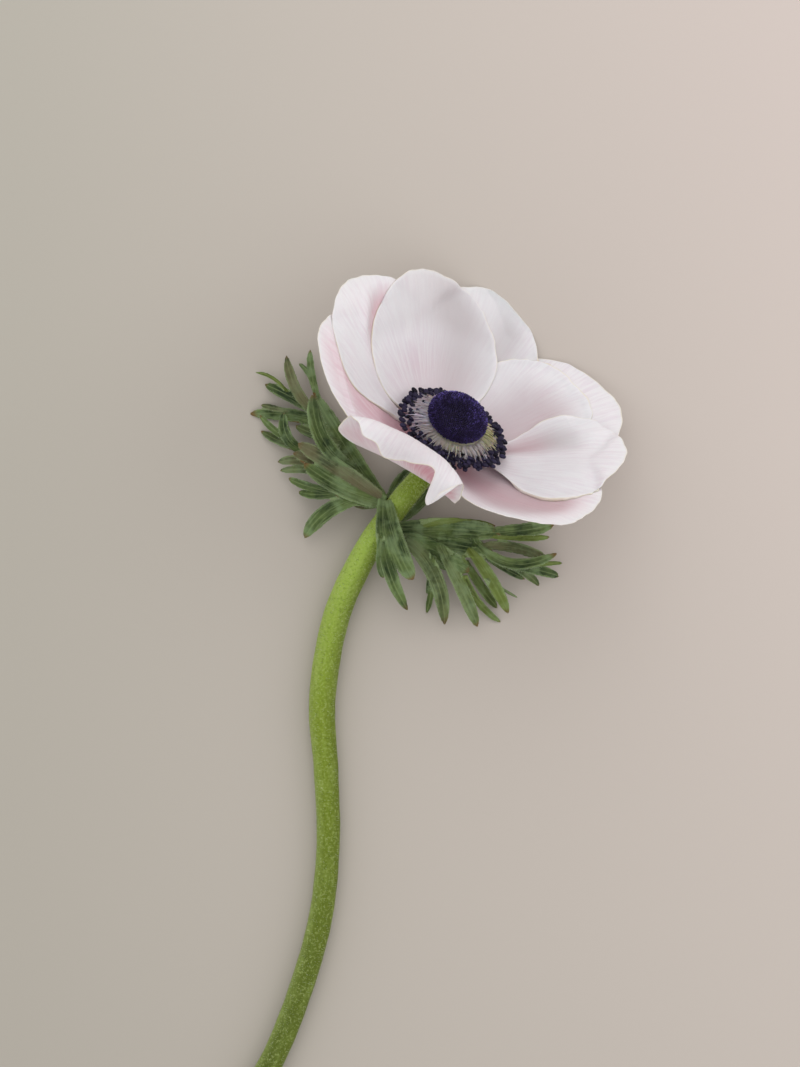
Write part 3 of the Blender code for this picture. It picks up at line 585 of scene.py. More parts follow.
def leaf_material():
    """Fleshy mid green under a grey-blue bloom, pale veins, margins paler partly in their own
    colour and partly as painted highlight, brown tips.
    """
    g = Graph("bract_leaf")
    across, along, vein_map = g.uv("lobe")
    seed, under, _ = g.uv("mask")
    edge, _, _ = g.uv("rim")
    place = g.place()
    cloud = g.noise(place, 110.0, 4.0, 0.65)
    mottle = g.noise(place, 900.0, 3.0, 0.6)
    streak = g.noise(g.stretch(vein_map, (2.0, 2.2, 1.0)), 1.0, 4.0, 0.65, 0.2)
    bloom = g.ramp(g.noise(place, 210.0, 3.0, 0.55), (0.48, 0.0), (0.62, 0.65))
    veins = g.times(g.ramp(streak, (0.50, 0.0), (0.62, 1.0)), 0.42)
    dark = g.times(g.ramp(streak, (0.36, 1.0), (0.50, 0.0)), 0.30)
    midrib = g.ramp(g.math("ABSOLUTE", across), (0.0, 0.6), (0.12, 0.0))
    red = g.times(g.ramp(seed, (0.06, 0.6), (0.26, 0.0)), g.ramp(cloud, (0.4, 0.3), (0.6, 1.0)))
    ragged = g.plus(along, g.times(g.math("SUBTRACT", cloud, 0.5), 0.2))
    colour = g.coats((0.010, 0.024, 0.004),
                     (g.ramp(cloud, (0.38, 0.0), (0.58, 1.0)), (0.135, 0.195, 0.055)),
                     (g.times(mottle, 0.35), (0.062, 0.112, 0.040)),
                     (bloom, (0.215, 0.310, 0.145)),
                     (veins, (0.230, 0.310, 0.130)), (dark, (0.020, 0.045, 0.008)),
                     (midrib, (0.240, 0.310, 0.130)),
                     (g.ramp(seed, (0.80, 0.0), (1.0, 0.4)), (0.190, 0.240, 0.022)),
                     (red, (0.165, 0.110, 0.080)),
                     # margins paler: partly their own colour, partly painted highlight that brings
                     # out each lobe's roll
                     (g.ramp(edge, (0.62, 0.0), (1.0, 0.60)), (0.300, 0.395, 0.190)),
                     (g.ramp(ragged, (0.93, 0.0), (1.0, 0.8)), (0.160, 0.065, 0.020)),
                     (g.times(under, 0.4), (0.160, 0.230, 0.090)))
    height = g.plus(g.times(streak, 0.75), g.times(mottle, 0.25))
    return g.finish(Base_Color=colour, Roughness=g.plus(0.42, g.times(mottle, 0.2)),
                    Normal=g.bump(height, 0.7, 0.0009), Specular_IOR_Level=0.22,
                    Sheen_Weight=0.04, Sheen_Roughness=0.4, Sheen_Tint=(0.85, 0.95, 0.85),
                    Subsurface_Weight=0.12, Subsurface_Radius=(0.5, 1.0, 0.3),
                    Subsurface_Scale=0.001)


def stem_material():
    """Fresh green streaked lengthwise, paler near the top, with painted light down its left side
    and painted shade down its right; a pale cut face.
    """
    g = Graph("stem_skin")
    around, along, skin = g.uv("skin")
    cut, _, _ = g.uv("mask")
    streak = g.noise(g.stretch(skin, (7.0, 22.0, 1.0)), 1.0, 3.0, 0.6)
    speck = g.noise(g.place(), 1500.0, 3.0, 0.6)
    cloud = g.noise(g.place(), 160.0, 3.0, 0.6)
    tone = g.ramp(along, (0.0, (0.046, 0.066, 0.007)), (0.30, (0.084, 0.118, 0.011)),
                  (0.60, (0.190, 0.265, 0.020)), (0.83, (0.390, 0.560, 0.095)),
                  (0.93, (0.140, 0.205, 0.013)), (1.0, (0.110, 0.158, 0.011)))
    # painted light along the left of the stem, painted shade along its right
    painted_light_side = g.ramp(around, (0.30, 0.0), (0.44, 0.38), (0.56, 0.38), (0.70, 0.0))
    painted_shade_side = g.ramp(around, (0.10, 0.75), (0.26, 0.0), (0.82, 0.0), (0.95, 0.75))
    inside = g.ramp(cut, (0.0, (0.10, 0.13, 0.03)), (0.35, (0.50, 0.56, 0.28)),
                    (0.60, (0.28, 0.38, 0.11)), (0.72, (0.52, 0.58, 0.30)),
                    (1.0, (0.20, 0.28, 0.05)))
    colour = g.coats(tone, (painted_light_side, (0.420, 0.540, 0.170)), (painted_shade_side, (0.090, 0.125, 0.010)),
                     (g.times(cloud, 0.35), (0.150, 0.200, 0.010)),
                     (g.ramp(streak, (0.5, 0.0), (0.75, 0.35)), (0.330, 0.430, 0.110)),
                     (g.ramp(speck, (0.52, 0.0), (0.70, 0.45)), (0.400, 0.480, 0.170)),
                     (g.ramp(speck, (0.32, 0.45), (0.46, 0.0)), (0.080, 0.115, 0.010)),
                     (g.ramp(cut, (0.985, 1.0), (0.995, 0.0)), inside))
    height = g.plus(g.times(streak, 0.6), g.times(speck, 0.4))
    return g.finish(Base_Color=colour, Roughness=g.plus(0.42, g.times(speck, 0.25)),
                    Normal=g.bump(height, 0.35, 0.0003), Specular_IOR_Level=0.2,
                    Sheen_Weight=0.04, Sheen_Roughness=0.4, Sheen_Tint=(0.9, 1.0, 0.6),
                    Subsurface_Weight=0.15, Subsurface_Radius=(0.6, 1.0, 0.2),
                    Subsurface_Scale=0.0012)


def down_material():
    g = Graph("down")
    tone = g.noise(g.place(), 700.0, 2.0, 0.5)
    colour = g.mix(tone, (0.42, 0.50, 0.30), (0.66, 0.70, 0.58))
    return g.finish(Base_Color=colour, Roughness=0.6, Sheen_Weight=0.3, Specular_IOR_Level=0.3)


def floor_material():
    """Smooth paper with painted light: greener and darker on the left, warmer and lighter to the
    upper right.
    """
    g = Graph("studio_paper")
    split = g.tree.nodes.new("ShaderNodeSeparateXYZ")
    g.tree.links.new(g.place(), split.inputs[0])
    # painted light: the paper lighter and warmer towards the upper right
    right, up = (g.node("ShaderNodeMapRange", {"Value": split.outputs[axis], 1: low, 2: high})
                 for axis, low, high in ((0, -0.10, 0.10), (1, -0.10, 0.19)))
    low = g.mix(right, (0.420, 0.392, 0.343), (0.530, 0.480, 0.436))
    high = g.mix(right, (0.455, 0.430, 0.377), (0.615, 0.540, 0.503))
    grain = g.noise(g.place(), 1800.0, 2.0, 0.5)
    return g.finish(Base_Color=g.mix(up, low, high), Roughness=0.9, Specular_IOR_Level=0.15,
                    Normal=g.bump(grain, 0.05, 0.0001))


# ------------------------------------------------------------------ tepals
def profile(slopes, knot, along):
    """Slope in degrees this far along a profile that has a slope at each knot."""
    return catmull(slopes, along / (knot * (len(slopes) - 1)))


def slope(along, az):
    """Slope of the cup in radians, this far out from the base, in this direction."""
    rise = CUP_RISE + STEEPER * np.exp(-((az - STEEP_AZ) / STEEP_SPREAD) ** 4)
    return np.radians(profile(CUP_SLOPE, KNOT, along) * rise / CUP_MEAN)


def follow(slope_at, along, count):
    """How far out and up a profile leads when its slope is followed this far along."""
    steps = (np.arange(count) + 0.5) / count
    th = slope_at(along[..., None] * steps)
    return np.cos(th).mean(-1) * along, np.sin(th).mean(-1) * along


def cup(along, az):
    """Radius and height of the cup this far out from the base, in this direction."""
    out, up = follow(lambda run: slope(run, az[..., None]), along, CUP_STEPS)
    return receptacle_radius(0.0) + ROOT_RADIUS + out, up


def receptacle_radius(height):
    """Radius of the receptacle at this height along the flower's axis."""
    return np.interp(height, [h for h, _ in RECEPTACLE], [r for _, r in RECEPTACLE])


def tepal_outline(u, v, width, widest, blunt, shares, tapers):
    """Map the square to the outline: across in mm, out as a share of the length."""
    top = np.clip(v, 0.0, 1.0)
    across_top = u * ((1 - blunt) * np.sqrt(1 - top ** 2 / 2)
                      + blunt * (1 - BLUNT_BEND * top ** 3))
    out_top = widest + (1 - widest) * top * ((1 - blunt) * np.sqrt(1 - u ** 2 / 2)
                                             + blunt * (1 - BLUNT_BEND * u ** 4))
    low = np.clip(v + 1.0, 0.0, 1.0)
    narrow = np.sin(low * math.pi / 2) ** np.where(u < 0, *tapers)
    taper = CLAW / width + (1 - CLAW / width) * narrow
    across = np.where(v >= 0, across_top, u * taper) * width / 2 * np.where(u < 0, *shares)
    return across, np.where(v >= 0, out_top, widest * low)


def cup_surface(across, out, az, layer, length):
    """Middle surface of a tepal that lies in the cup, and how far out each point is."""
    drop = LAYER_STEP * layer
    inset = receptacle_radius(0.0) - receptacle_radius(-drop)
    along = out * (length + inset) - inset
    middle, _ = cup(along, np.full_like(out, az))
    turn = az + np.degrees(across / np.maximum(middle, LEAST_RADIUS))
    radius, height = cup(along, turn)
    th, a = slope(along, turn), np.radians(turn)
    radius, height = radius + np.sin(th) * drop * (out > 0), height - drop * np.cos(th)
    return to_world(radius * np.cos(a), radius * np.sin(a), height), along


def front_surface(across, out, u, layer, length):
    """Middle surface of the front tepal, and how far out each point is."""
    along = out * length
    drop = LAYER_STEP * layer
    way, height = follow(lambda run: np.radians(profile(FRONT_SLOPE, FRONT_KNOT, run)), along,
                         FRONT_STEPS)
    curl = FRONT_CURL[0] * np.clip(-u, 0, 1) ** 3 + FRONT_CURL[1] * np.clip(u, 0, 1) ** 2
    radius = (receptacle_radius(-drop) + ROOT_RADIUS + way
              + curl * np.clip(along / FRONT_TURN, 0, 1) ** 2)
    drift = FRONT_DRIFT * smooth(along, 0.0, FRONT_TURN)
    return to_world(-radius, across + drift, height - drop), along


def blur(field, passes):
    """A grid smoothed along both of its sides."""
    for _ in range(passes):
        for axis in (0, 1):
            inner = range(1, field.shape[axis])
            before = field.take([0, *(i - 1 for i in inner)], axis)
            after = field.take([*inner, field.shape[axis] - 1], axis)
            field = (before + 2 * field + after) / 4
    return field


def blade_normals(points):
    """Smooth normals of a grid of points, on the side that faces the eye."""
    normal = np.cross(np.gradient(points, axis=1), np.gradient(points, axis=0))
    return unit(blur(np.where((normal @ AXIS)[..., None] < 0, -normal, normal), NORMAL_BLUR))


def around_least(field):
    """At each place of a grid the least value there and at its four neighbours."""
    pad = np.pad(field, 1, mode="edge")
    return np.minimum.reduce([field, pad[:-2, 1:-1], pad[2:, 1:-1], pad[1:-1, :-2],
                              pad[1:-1, 2:]])


class Blade:
    """A tepal on a grid: u runs from side to side and v from the foot to the tip, -1 to 1."""

    def __init__(self, name, placed):
        self.name, self.front, self.placed = name, name == FRONT, placed
        self.seed = sum(ord(c) for c in name)
        self.u, self.v = np.meshgrid(np.linspace(-1, 1, BLADE_COLS + 1),
                                     np.linspace(-1, 1, BLADE_ROWS + 1))
        az, layer, length, *outline = TEPALS[name]
        width, widest = outline[:2]
        across, out = tepal_outline(self.u, self.v, *outline)
        self.fan = np.arctan2(across, out * length + FAN_FOOT) / FAN_HALF
        self.edge, self.sides = smooth(self.v, 0.1, 1.0), np.abs(self.u) ** 4
        out = out + self.edge * self.notch() / length
        if self.front:
            self.points, self.along = front_surface(across, out, self.u, layer, length)
        else:
            self.points, self.along = cup_surface(across, out, az, layer, length)
        self.reach = np.clip(self.along / length, 0, 1)
        self.rim = np.minimum((1 - np.abs(self.u)) * width / 2,
                              (1 - self.v) * length * (1 - widest))
        self.thick = RIM_THICK + (BLADE_THICK - RIM_THICK) * smooth(self.rim, 0.0, RIM_WIDTH)
        self.points = self.points + blade_normals(self.points) * self.relief()[..., None]
        self.normal = blade_normals(self.points)
        if placed and not self.front:
            self.points = self.points - self.normal * self.sink()[..., None]
            self.normal = blade_normals(self.points)
        lift = np.maximum(FLOOR_GAP - (self.points[..., 2] - self.thick / 2), 0.0)
        self.points[..., 2] += lift

    def waves(self, kind, along=0.0):
        """One kind of waves across the tepal, which sway sideways on their way out."""
        shift, lengths, size, sway = TEPAL_WAVES[kind]
        return size * waves(self.fan * FAN_PARTS, self.seed + shift, lengths, along, sway)

    def notch(self):
        """How far the rim runs out or in, with the shape of the front tepal's lip."""
        notch = self.waves("notch") + self.waves("sweep")
        if self.front:
            notch = notch + LIP_REACH + self.waves("lip")
            for low, high, size in LIP_STEPS:
                notch = notch + size * smooth(self.u, low, high)
            place, spread, size = LIP_FLAP
            notch = notch + size * np.exp(-((self.u - place) / spread) ** 4)
        return notch

    def relief(self):
        """Ripples, fine pleats, a frilled rim and the folds from the table."""
        ripple = TEPAL_TINT[self.name][2] * smooth(self.reach, 0.2, 1.0)
        frill = smooth(np.maximum(self.edge, self.sides), 0.6, 1.0)
        return (ripple * self.waves("ripple", self.along)
                + smooth(self.reach, 0.08, 0.5) * self.waves("pleat", self.along)
                + frill * self.waves("frill", self.along) + self.bands(TEPAL_FOLDS))

    def bands(self, table):
        """Sum of the soft bands that a table gives the tepal."""
        total = np.zeros_like(self.u)
        for u0, v0, u1, v1, spread, amount in table.get(self.name, ()):
            t = (self.v - v0) / (v1 - v0)
            middle = u0 + (u1 - u0) * np.clip(t, -0.2, 1.3)
            fade = smooth(t, -0.2, 0.15) * (1 - smooth(t, 0.75, 1.3))
            total += amount * fade * np.exp(-((self.u - middle) / spread) ** 2)
        return total

    def gap_below(self, spot, reach):
        """Distance from the blade, away from the eye, to the nearest tepal below, or None."""
        start, way = Vector(self.points[spot]), Vector(-self.normal[spot])
        found = [tree.ray_cast(start, way, reach)[3] for tree in self.placed]
        nearest = min((d for d in found if d is not None), default=None)
        return None if nearest is None else nearest - self.thick[spot] / 2

    def sink(self):
        """How far the margin sinks to lie on the tepals that it overlaps."""
        gap, hit = np.zeros_like(self.u), np.zeros_like(self.u)
        for spot in np.ndindex(self.u.shape):
            found = self.gap_below(spot, SETTLE_REACH)
            if found is not None:
                gap[spot], hit[spot] = min(found, SETTLE_MOST), 1.0
        share = blur(hit, SETTLE_BLUR)
        sink = blur(gap, SETTLE_BLUR) / np.maximum(share, 0.001) * smooth(share, 0.25, 0.9)
        beside = smooth(np.abs(self.u), 0.3, 0.95) * smooth(self.v, -0.9, -0.3)
        sink *= np.maximum(beside, smooth(self.v, 0.1, 0.95))
        room = np.where(hit > 0, gap, SETTLE_MOST)
        for _ in range(SETTLE_STEPS):
            room = around_least(room)
        return blur(np.minimum(sink, room - SETTLE_CLEAR), SETTLE_END_BLUR)

    def skirt(self):
        """Extra thickness under a rim that closes a narrow slit above the tepal below."""
        extra = np.zeros_like(self.rim)
        for spot in zip(*np.nonzero(self.rim < SKIRT_WIDTH)):
            gap = self.gap_below(spot, SKIRT_DEPTH)
            if gap is not None:
                extra[spot] = max(gap + SKIRT_LAP, 0.0)
        return blur(extra, SKIRT_BLUR) * smooth(SKIRT_WIDTH - self.rim, 0.0, 0.6 * SKIRT_WIDTH)

    def tint(self):
        """How pink each point is; the pink under the front tepal's lip and in some bands is partly
        painted shade.
        """
        blush, base_blush, _ = TEPAL_TINT[self.name]
        tint = blush * (1 - 0.75 * smooth(self.reach, 0.55, 1.0)) * (1 - 0.6 * self.sides)
        tint = tint + base_blush * np.exp(-(np.maximum(self.along, 0) / BASE_FADE) ** 1.5)
        tint = tint + self.bands(TEPAL_BLUSH)
        if self.front:
            # pink under the lip: the back's own pink and painted shade where the lip shadows it
            place, spread = FOLD_BLUSH_AND_SHADE
            fold = np.exp(-((self.v - place) / spread) ** 2) + 0.5 * smooth(self.v, 0.9, 1.0)
            tint = tint + fold * (0.30 + 0.62 * smooth(self.u, 0.1, -0.5)) * (
                1 - 0.4 * smooth(self.v, 0.5, 0.9)) * (1 - 0.6 * smooth(self.u, -0.75, -1.0))
        return tint

    def dress(self, mat):
        """Close the blade with its lower side and rim, and hand it to the flower."""
        half = self.thick / 2
        upper = self.points + self.normal * half[..., None]
        lower = self.points - self.normal * (half + self.skirt())[..., None]
        rows, cols = self.u.shape
        count = rows * cols
        top = grid_faces(rows, cols)
        if not self.front:
            self.placed.append(BVHTree.FromPolygons(upper.reshape(-1, 3).tolist(), top))
        grid = np.arange(count).reshape(rows, cols)
        loop = [*grid[0], *grid[1:, -1], *grid[-1, -2::-1], *grid[-2:0:-1, 0]]
        faces = top + grid_faces(rows, cols, count, flip=True) + [
            (b, a, count + a, count + b) for a, b in zip(loop, loop[1:] + loop[:1])]
        tint, rim = self.tint(), self.rim / 5.0
        back = tint * BACK_BLUSH[0] + BACK_BLUSH[1]
        # painted shade from the table, carried in the "tone" layer on the upper side only
        painted_shade = np.minimum(self.bands(TEPAL_PAINTED_SHADE), MOST_PAINTED_SHADE)
        uvs = {"fan": both(self.fan, self.along / 10.0, self.fan, self.along / 10.0),
               "mask": both(tint, rim, back, rim),
               "tone": both(painted_shade, painted_shade, painted_shade * 0.0, painted_shade * 0.0)}
        obj = make_piece(self.name + "_petal", np.concatenate([upper, lower]), faces, [mat], uvs)
        face_outwards(obj)
        dress(obj, self.name)


def both(*grids):
    """The UVs of a blade, from two grids for its upper side and two for its lower side."""
    return np.stack([np.concatenate(grids[::2]), np.concatenate(grids[1::2])], -1).reshape(-1, 2)


def face_outwards(obj):
    bm = bmesh.new()
    bm.from_mesh(obj.data)
    bmesh.ops.recalc_face_normals(bm, faces=list(bm.faces))
    bm.to_mesh(obj.data)
    bm.free()


# ------------------------------------------------------------------ stem
def stem_path():
    """Centre line and radii from the cut end to the top of the receptacle."""
    table = np.array(STEM)
    t = np.linspace(0, 1, STEM_STATIONS)
    line = np.stack([catmull(table[:, k], t) for k in range(4)], axis=-1)
    heights = np.linspace(RECEPTACLE[0][0], RECEPTACLE[-1][0], TOP_STATIONS)
    top = np.array([[*(BASE + AXIS * h), receptacle_radius(h)] for h in heights])
    joined = np.concatenate([line, top])
    return joined[:, :3], joined[:, 3]


def stem_axes(path):
    """Unit vectors along a line, to its right and up."""
    heading = unit(np.gradient(path, axis=0))
    side = unit(np.cross(heading, [0.0, 0.0, 1.0]))
    return heading, side, np.cross(side, heading)


def make_stem(mat, down):
    """A ribbed, slightly lumpy stalk with a cut face, and its hairs."""
    path, radii = stem_path()
    heading, side, over = stem_axes(path)
    run = np.concatenate([[0], np.cumsum(np.linalg.norm(np.diff(path, axis=0), axis=1))])
    a = circle(STEM_SIDES, 0.5)
    ribs = RIB_DEPTH * np.cos(RIB_COUNT * a[None, :] + run[:, None] / RIB_TWIST)
    lumps = LUMP_DEPTH * waves(run[:, None] + 6 * np.cos(a)[None, :], 5, LUMP_LENGTHS)
    r = radii[:, None] * (1 + ribs + lumps)
    rings = (path[:, None] + r[..., None] * (np.cos(a)[None, :, None] * side[:, None]
                                             + np.sin(a)[None, :, None] * over[:, None]))
    rings[..., 2] = np.maximum(rings[..., 2], 0.0)
    count = len(path)
    turn = a / (2 * math.pi)
    points = [rings.reshape(-1, 3)]
    skin = [np.stack(np.broadcast_arrays(turn[None, :], run[:, None] / run[-1]), -1)]
    uvs, cut = [skin[0].reshape(-1, 2)], [np.ones((count * STEM_SIDES, 2))]
    faces = tube_faces(count, STEM_SIDES, caps=False)
    previous, total = 0, count * STEM_SIDES
    for share, depth in CUT_FACE:
        points.append(path[0] + (rings[0] - path[0]) * share + heading[0] * depth)
        uvs.append(np.stack([turn, np.zeros(STEM_SIDES)], -1))
        cut.append(np.full((STEM_SIDES, 2), share))
        faces += [(previous + (s + 1) % STEM_SIDES, total + (s + 1) % STEM_SIDES, total + s,
                   previous + s) for s in range(STEM_SIDES)]
        previous, total = total, total + STEM_SIDES
    faces.append(tuple(range(previous, previous + STEM_SIDES)))
    top = (count - 1) * STEM_SIDES
    faces.append(tuple(reversed(range(top, top + STEM_SIDES))))
    obj = make_piece("stem_skin", np.concatenate(points), faces, [mat],
                     {"skin": np.concatenate(uvs), "mask": np.concatenate(cut)})
    face_outwards(obj)
    dress(obj, "stem")
    add_down("stem_down", *down_on_stem(path, radii, side, over, heading), STEM_HAIR_RADIUS,
             down, "stem", "stem")


def down_on_stem(path, radii, side, over, heading):
    """Roots, directions and lengths of the short hairs on the stem."""
    rng = np.random.default_rng(11)
    i = rng.integers(2, STEM_STATIONS - 4, STEM_HAIRS)
    a = rng.uniform(0, 2 * math.pi, STEM_HAIRS)
    out = np.cos(a)[:, None] * side[i] + np.sin(a)[:, None] * over[i]
    roots = path[i] + out * (radii[i] * 0.99)[:, None]
    lean = rng.uniform(-0.3, 0.7, (STEM_HAIRS, 1))
    ways = unit(out + heading[i] * lean + rng.normal(0, 0.25, (STEM_HAIRS, 3)))
    keep = roots[:, 2] + ways[:, 2] * 0.7 > 0.05
    return roots[keep], ways[keep], rng.uniform(*STEM_HAIR_LENGTHS, keep.sum())


def add_down(name, roots, ways, lengths, radius, mat, node, slot):
    """Short tapering three-sided hairs."""
    aside = unit(np.cross(ways, [0.31, 0.52, 0.79]))
    other = np.cross(ways, aside)
    corners = [roots + (math.cos(b) * aside + math.sin(b) * other) * radius for b in circle(3)]
    tips = roots + ways * lengths[:, None]
    points = np.stack([*corners, tips], axis=1).reshape(-1, 3)
    points[:, 2] = np.maximum(points[:, 2], 0.0)
    faces = []
    for p in range(0, 4 * len(roots), 4):
        faces += [(p, p + 1, p + 3), (p + 1, p + 2, p + 3), (p + 2, p, p + 3), (p, p + 2, p + 1)]
    dress(make_piece(name, points, faces, [mat]), node)


# ------------------------------------------------------------------ eye
def round_eye(radius, count, height, shift=0.0):
    """A ring of points round the flower's axis."""
    a = circle(count)
    return to_world(radius * np.cos(a), radius * np.sin(a) + shift, np.full(count, height))


def make_pistil(mat, green):
    """A dark dome set all over with small blunt styles, on a pale neck."""
    build = Tubes()
    plain = (0.0, 0.0)
    rings = [round_eye(DOME_RADIUS * math.sin(p), DOME_SIDES,
                       DOME_CENTRE + DOME_HALF_HEIGHT * math.cos(p), DOME_SHIFT)
             for p in np.linspace(0.02, math.pi - DOME_OPEN, DOME_RINGS)]
    build.tube(rings, 0, [plain] * DOME_RINGS)
    golden = math.pi * (3 - math.sqrt(5))
    rng = np.random.default_rng(3)
    low = math.cos(math.pi - STYLE_FREE)
    extent = np.array([DOME_RADIUS, DOME_RADIUS, DOME_HALF_HEIGHT])
    for i in range(STYLE_COUNT):
        z = 1 - (1 - low) * (i + 0.5) / STYLE_COUNT
        r, a = math.sqrt(1 - z * z), i * golden
        spot = extent * (r * math.cos(a), r * math.sin(a), z)
        way = unit(unit(spot / extent ** 2) + rng.normal(0, 0.16, 3))
        aside = unit(np.cross(way, [0.1, 0.2, 0.97]))
        other = np.cross(way, aside)
        # painted highlight: a random share of styles get pale violet-blue tips
        size, painted_highlight = rng.uniform(0.8, 1.25), rng.uniform(0, 1) ** 2
        # painted light and shade: tips brighter on one side of the dome, darker on the other
        painted_highlight *= 0.35 + 0.85 * smooth(spot[0] / DOME_RADIUS, -0.7, 0.7)
        rings = [ring(spot + way * height * size, aside, other, wide * size, STYLE_SIDES)
                 + (0.0, DOME_SHIFT, DOME_CENTRE) for height, wide, _ in STYLE]
        build.tube([to_world(*points.T) for points in rings], 0,
                   [(pale, painted_highlight) for _, _, pale in STYLE])
    build.tube([round_eye(radius, DOME_SIDES, height) for radius, height in NECK], 1,
               [plain] * len(NECK))
    obj = make_piece("pistil_dome", build.points, build.faces, [mat, green],
                     {"mask": np.array(build.marks)}, build.kinds)
    face_outwards(obj)
    dress(obj, "pistil")


def thread_tone(azimuth, out):
    """Where a thread's colour lies from olive by cream to lilac, by its side of the eye."""
    def facing(degrees, power):
        return max(0.0, math.cos(azimuth - math.radians(degrees))) ** power

    lilac = facing(LILAC_SIDE, 2) + facing(LILAC_BACK, 6) * out
    tone = 0.22 + 0.24 * out + 0.36 * lilac - 0.30 * facing(OLIVE_SIDE, 6)
    return min(max(tone, 0.0), 1.0)


def add_skirt(build, rng):
    """The pale ribbed ring that the stamens grow from, closed on itself."""
    around, rings = circle(SKIRT_SIDES), len(SKIRT)
    ribs = 0.10 * np.cos(around * SKIRT_SIDES / 3) + rng.normal(0, 0.05, SKIRT_SIDES)
    for i, (radius, height) in enumerate(SKIRT):
        build.points += list(round_eye(radius + ribs * (0 < i < RIBBED), SKIRT_SIDES, height,
                                       DOME_SHIFT * (RIBBED - i) / RIBBED))
        build.marks += [(thread_tone(a, (i - 2) / 5), 0.0, a) for a in around]
    for r in range(rings):
        a, b = r * SKIRT_SIDES, ((r + 1) % rings) * SKIRT_SIDES
        build.skin([(a + s, b + s, b + (s + 1) % SKIRT_SIDES, a + (s + 1) % SKIRT_SIDES)
                    for s in range(SKIRT_SIDES)], 1)


def make_stamens(anther, filament):
    """Rows of thread-like filaments with plump anthers, on a pale ribbed skirt."""
    build = Tubes()
    rng = np.random.default_rng(7)
    add_skirt(build, rng)
    for row, (count, reach, lift, size) in enumerate(STAMEN_ROWS):
        for i in range(count):
            a = (i + rng.uniform(-0.35, 0.35)) * 2 * math.pi / count + row * 0.7
            a -= 0.42 * math.sin(a - NEAR_SIDE)
            near = rng.uniform(0, 2.4) * max(0.0, math.cos(a - NEAR_SIDE))
            add_stamen(build, rng, a, reach - near + rng.uniform(-0.5, 0.5),
                       lift + rng.uniform(-0.5, 0.5), size * rng.uniform(0.85, 1.15))
    for i in range(STERILE_COUNT):
        a = (i + rng.uniform(-0.4, 0.4)) * 2 * math.pi / STERILE_COUNT
        add_stamen(build, rng, a, rng.uniform(8.2, 10.8), rng.uniform(5.0, 6.0), 0.0)
    marks = np.array(build.marks)
    obj = make_piece("stamen_ring", build.points, build.faces, [anther, filament],
                     {"mask": marks[:, :2], "ribs": marks[:, 2:] * (3.0, 0.0)}, build.kinds)
    face_outwards(obj)
    dress(obj, "stamens")


def add_stamen(build, rng, azimuth, reach, lift, size):
    """One thread that arches out over the skirt, with an anther unless its size is 0."""
    swing = rng.uniform(-0.6, 0.6)
    start = rng.uniform(6.9, 7.9)
    root = np.array([start, 0.0, SKIRT_TOP[1] - (start - SKIRT_TOP[0]) * SKIRT_FALL])
    tip = np.array([reach - size * 0.4, swing, lift])
    bend = np.array([start + (tip[0] - start) * 0.5, swing * 0.5, max(root[2], lift) + 0.25])
    line = quadratic(root, bend, tip, THREAD_RINGS)
    tone = thread_tone(azimuth, 0.6) + rng.uniform(-0.14, 0.14)
    cos, sin = math.cos(azimuth), math.sin(azimuth)

    def turned(points):
        x, y, z = points.T
        squeeze = 1 - (1 - RING_SQUEEZE) * smooth(x, 7.0, 11.0)
        return to_world((x * cos - y * sin) * squeeze, x * sin + y * cos, z)

    outs = np.linspace(0, 1, THREAD_RINGS)
    y_way, z_way = np.array([0.0, 1.0, 0.0]), np.array([0.0, 0.0, 1.0])
    build.tube([turned(ring(p, y_way, z_way, THREAD_RADIUS - THREAD_TAPER * out, THREAD_SIDES))
                for p, out in zip(line, outs)], 1, [(tone, out, azimuth) for out in outs])
    if not size:
        return
    # the anther: two plump lobes side by side, blunt at both ends
    way = unit(np.array([1.0, rng.uniform(-0.45, 0.45), rng.uniform(-0.15, 0.55)]))
    aside = unit(np.cross(way, z_way))
    over = np.cross(aside, way)
    girth = size * rng.uniform(0.30, 0.37)
    # painted highlight: how much violet glint this anther's colour is given
    painted_highlight = rng.uniform(0, 1)
    b = circle(ANTHER_SIDES)[:, None]
    section = (aside * np.cos(b) * 1.05
               + over * np.sin(b) * 0.9 * (1 - ANTHER_WAIST * np.sin(b) ** 6)) * girth
    rings = []
    for s in math.pi * np.linspace(0.06, 0.94, ANTHER_RINGS):
        centre = tip + way * (0.35 - math.cos(s) * 0.5) * size
        rings.append(turned(centre + section * math.sin(s) ** 0.7))
    build.tube(rings, 0, [(painted_highlight, 0.0, 0.0)] * ANTHER_RINGS)


# ------------------------------------------------------------------ bracts
def lobe_line(root, bend, tip, width, index, stations):
    """Centre line of a lobe, its sideways and upward directions and its half width."""
    line = quadratic(*np.array([root, bend, tip]), stations)
    _, side, over = stem_axes(line)
    roll = 0.35 * math.sin(index * 2.4)
    side, over = (math.cos(roll) * side + math.sin(roll) * over,
                  math.cos(roll) * over - math.sin(roll) * side)
    s = np.linspace(0, 1, stations)
    half = width / 2 * np.where(s < 0.5, 0.72 + 0.28 * np.sin(s * math.pi),
                                np.clip(1 - ((s - 0.5) / 0.505) ** 3, 0.01, 1) ** 0.6)
    return line, side, over, half, s


def lobe_tube(row, index):
    """Points of a closed creased lobe with a rounded margin."""
    line, side, over, half, s = lobe_line(*row, index, LOBE_STATIONS)
    b, width = circle(LOBE_SIDES), row[3]
    cos = np.abs(np.cos(b))[None, :]
    sideways = np.cos(b)[None, :] * half[:, None]
    crease = 0.20 * width * np.sin(s * math.pi) ** 0.8
    fold = crease[:, None] * (cos ** 1.3 - 0.4)
    thick = LEAF_THICK / 2 * np.sqrt(np.clip(half / (0.5 * width), 0.2, 1))
    wave = 0.12 * waves(s[:, None] * 9 + np.sign(np.cos(b))[None, :], index + 50, (2.0, 3.3))
    upward = np.sin(b)[None, :] * thick[:, None] + fold + wave * cos
    rings = line[:, None] + sideways[..., None] * side[:, None] + upward[..., None] * over[:, None]
    rings[..., 2] = np.maximum(rings[..., 2], FLOOR_GAP)
    return list(rings.reshape(-1, 3))


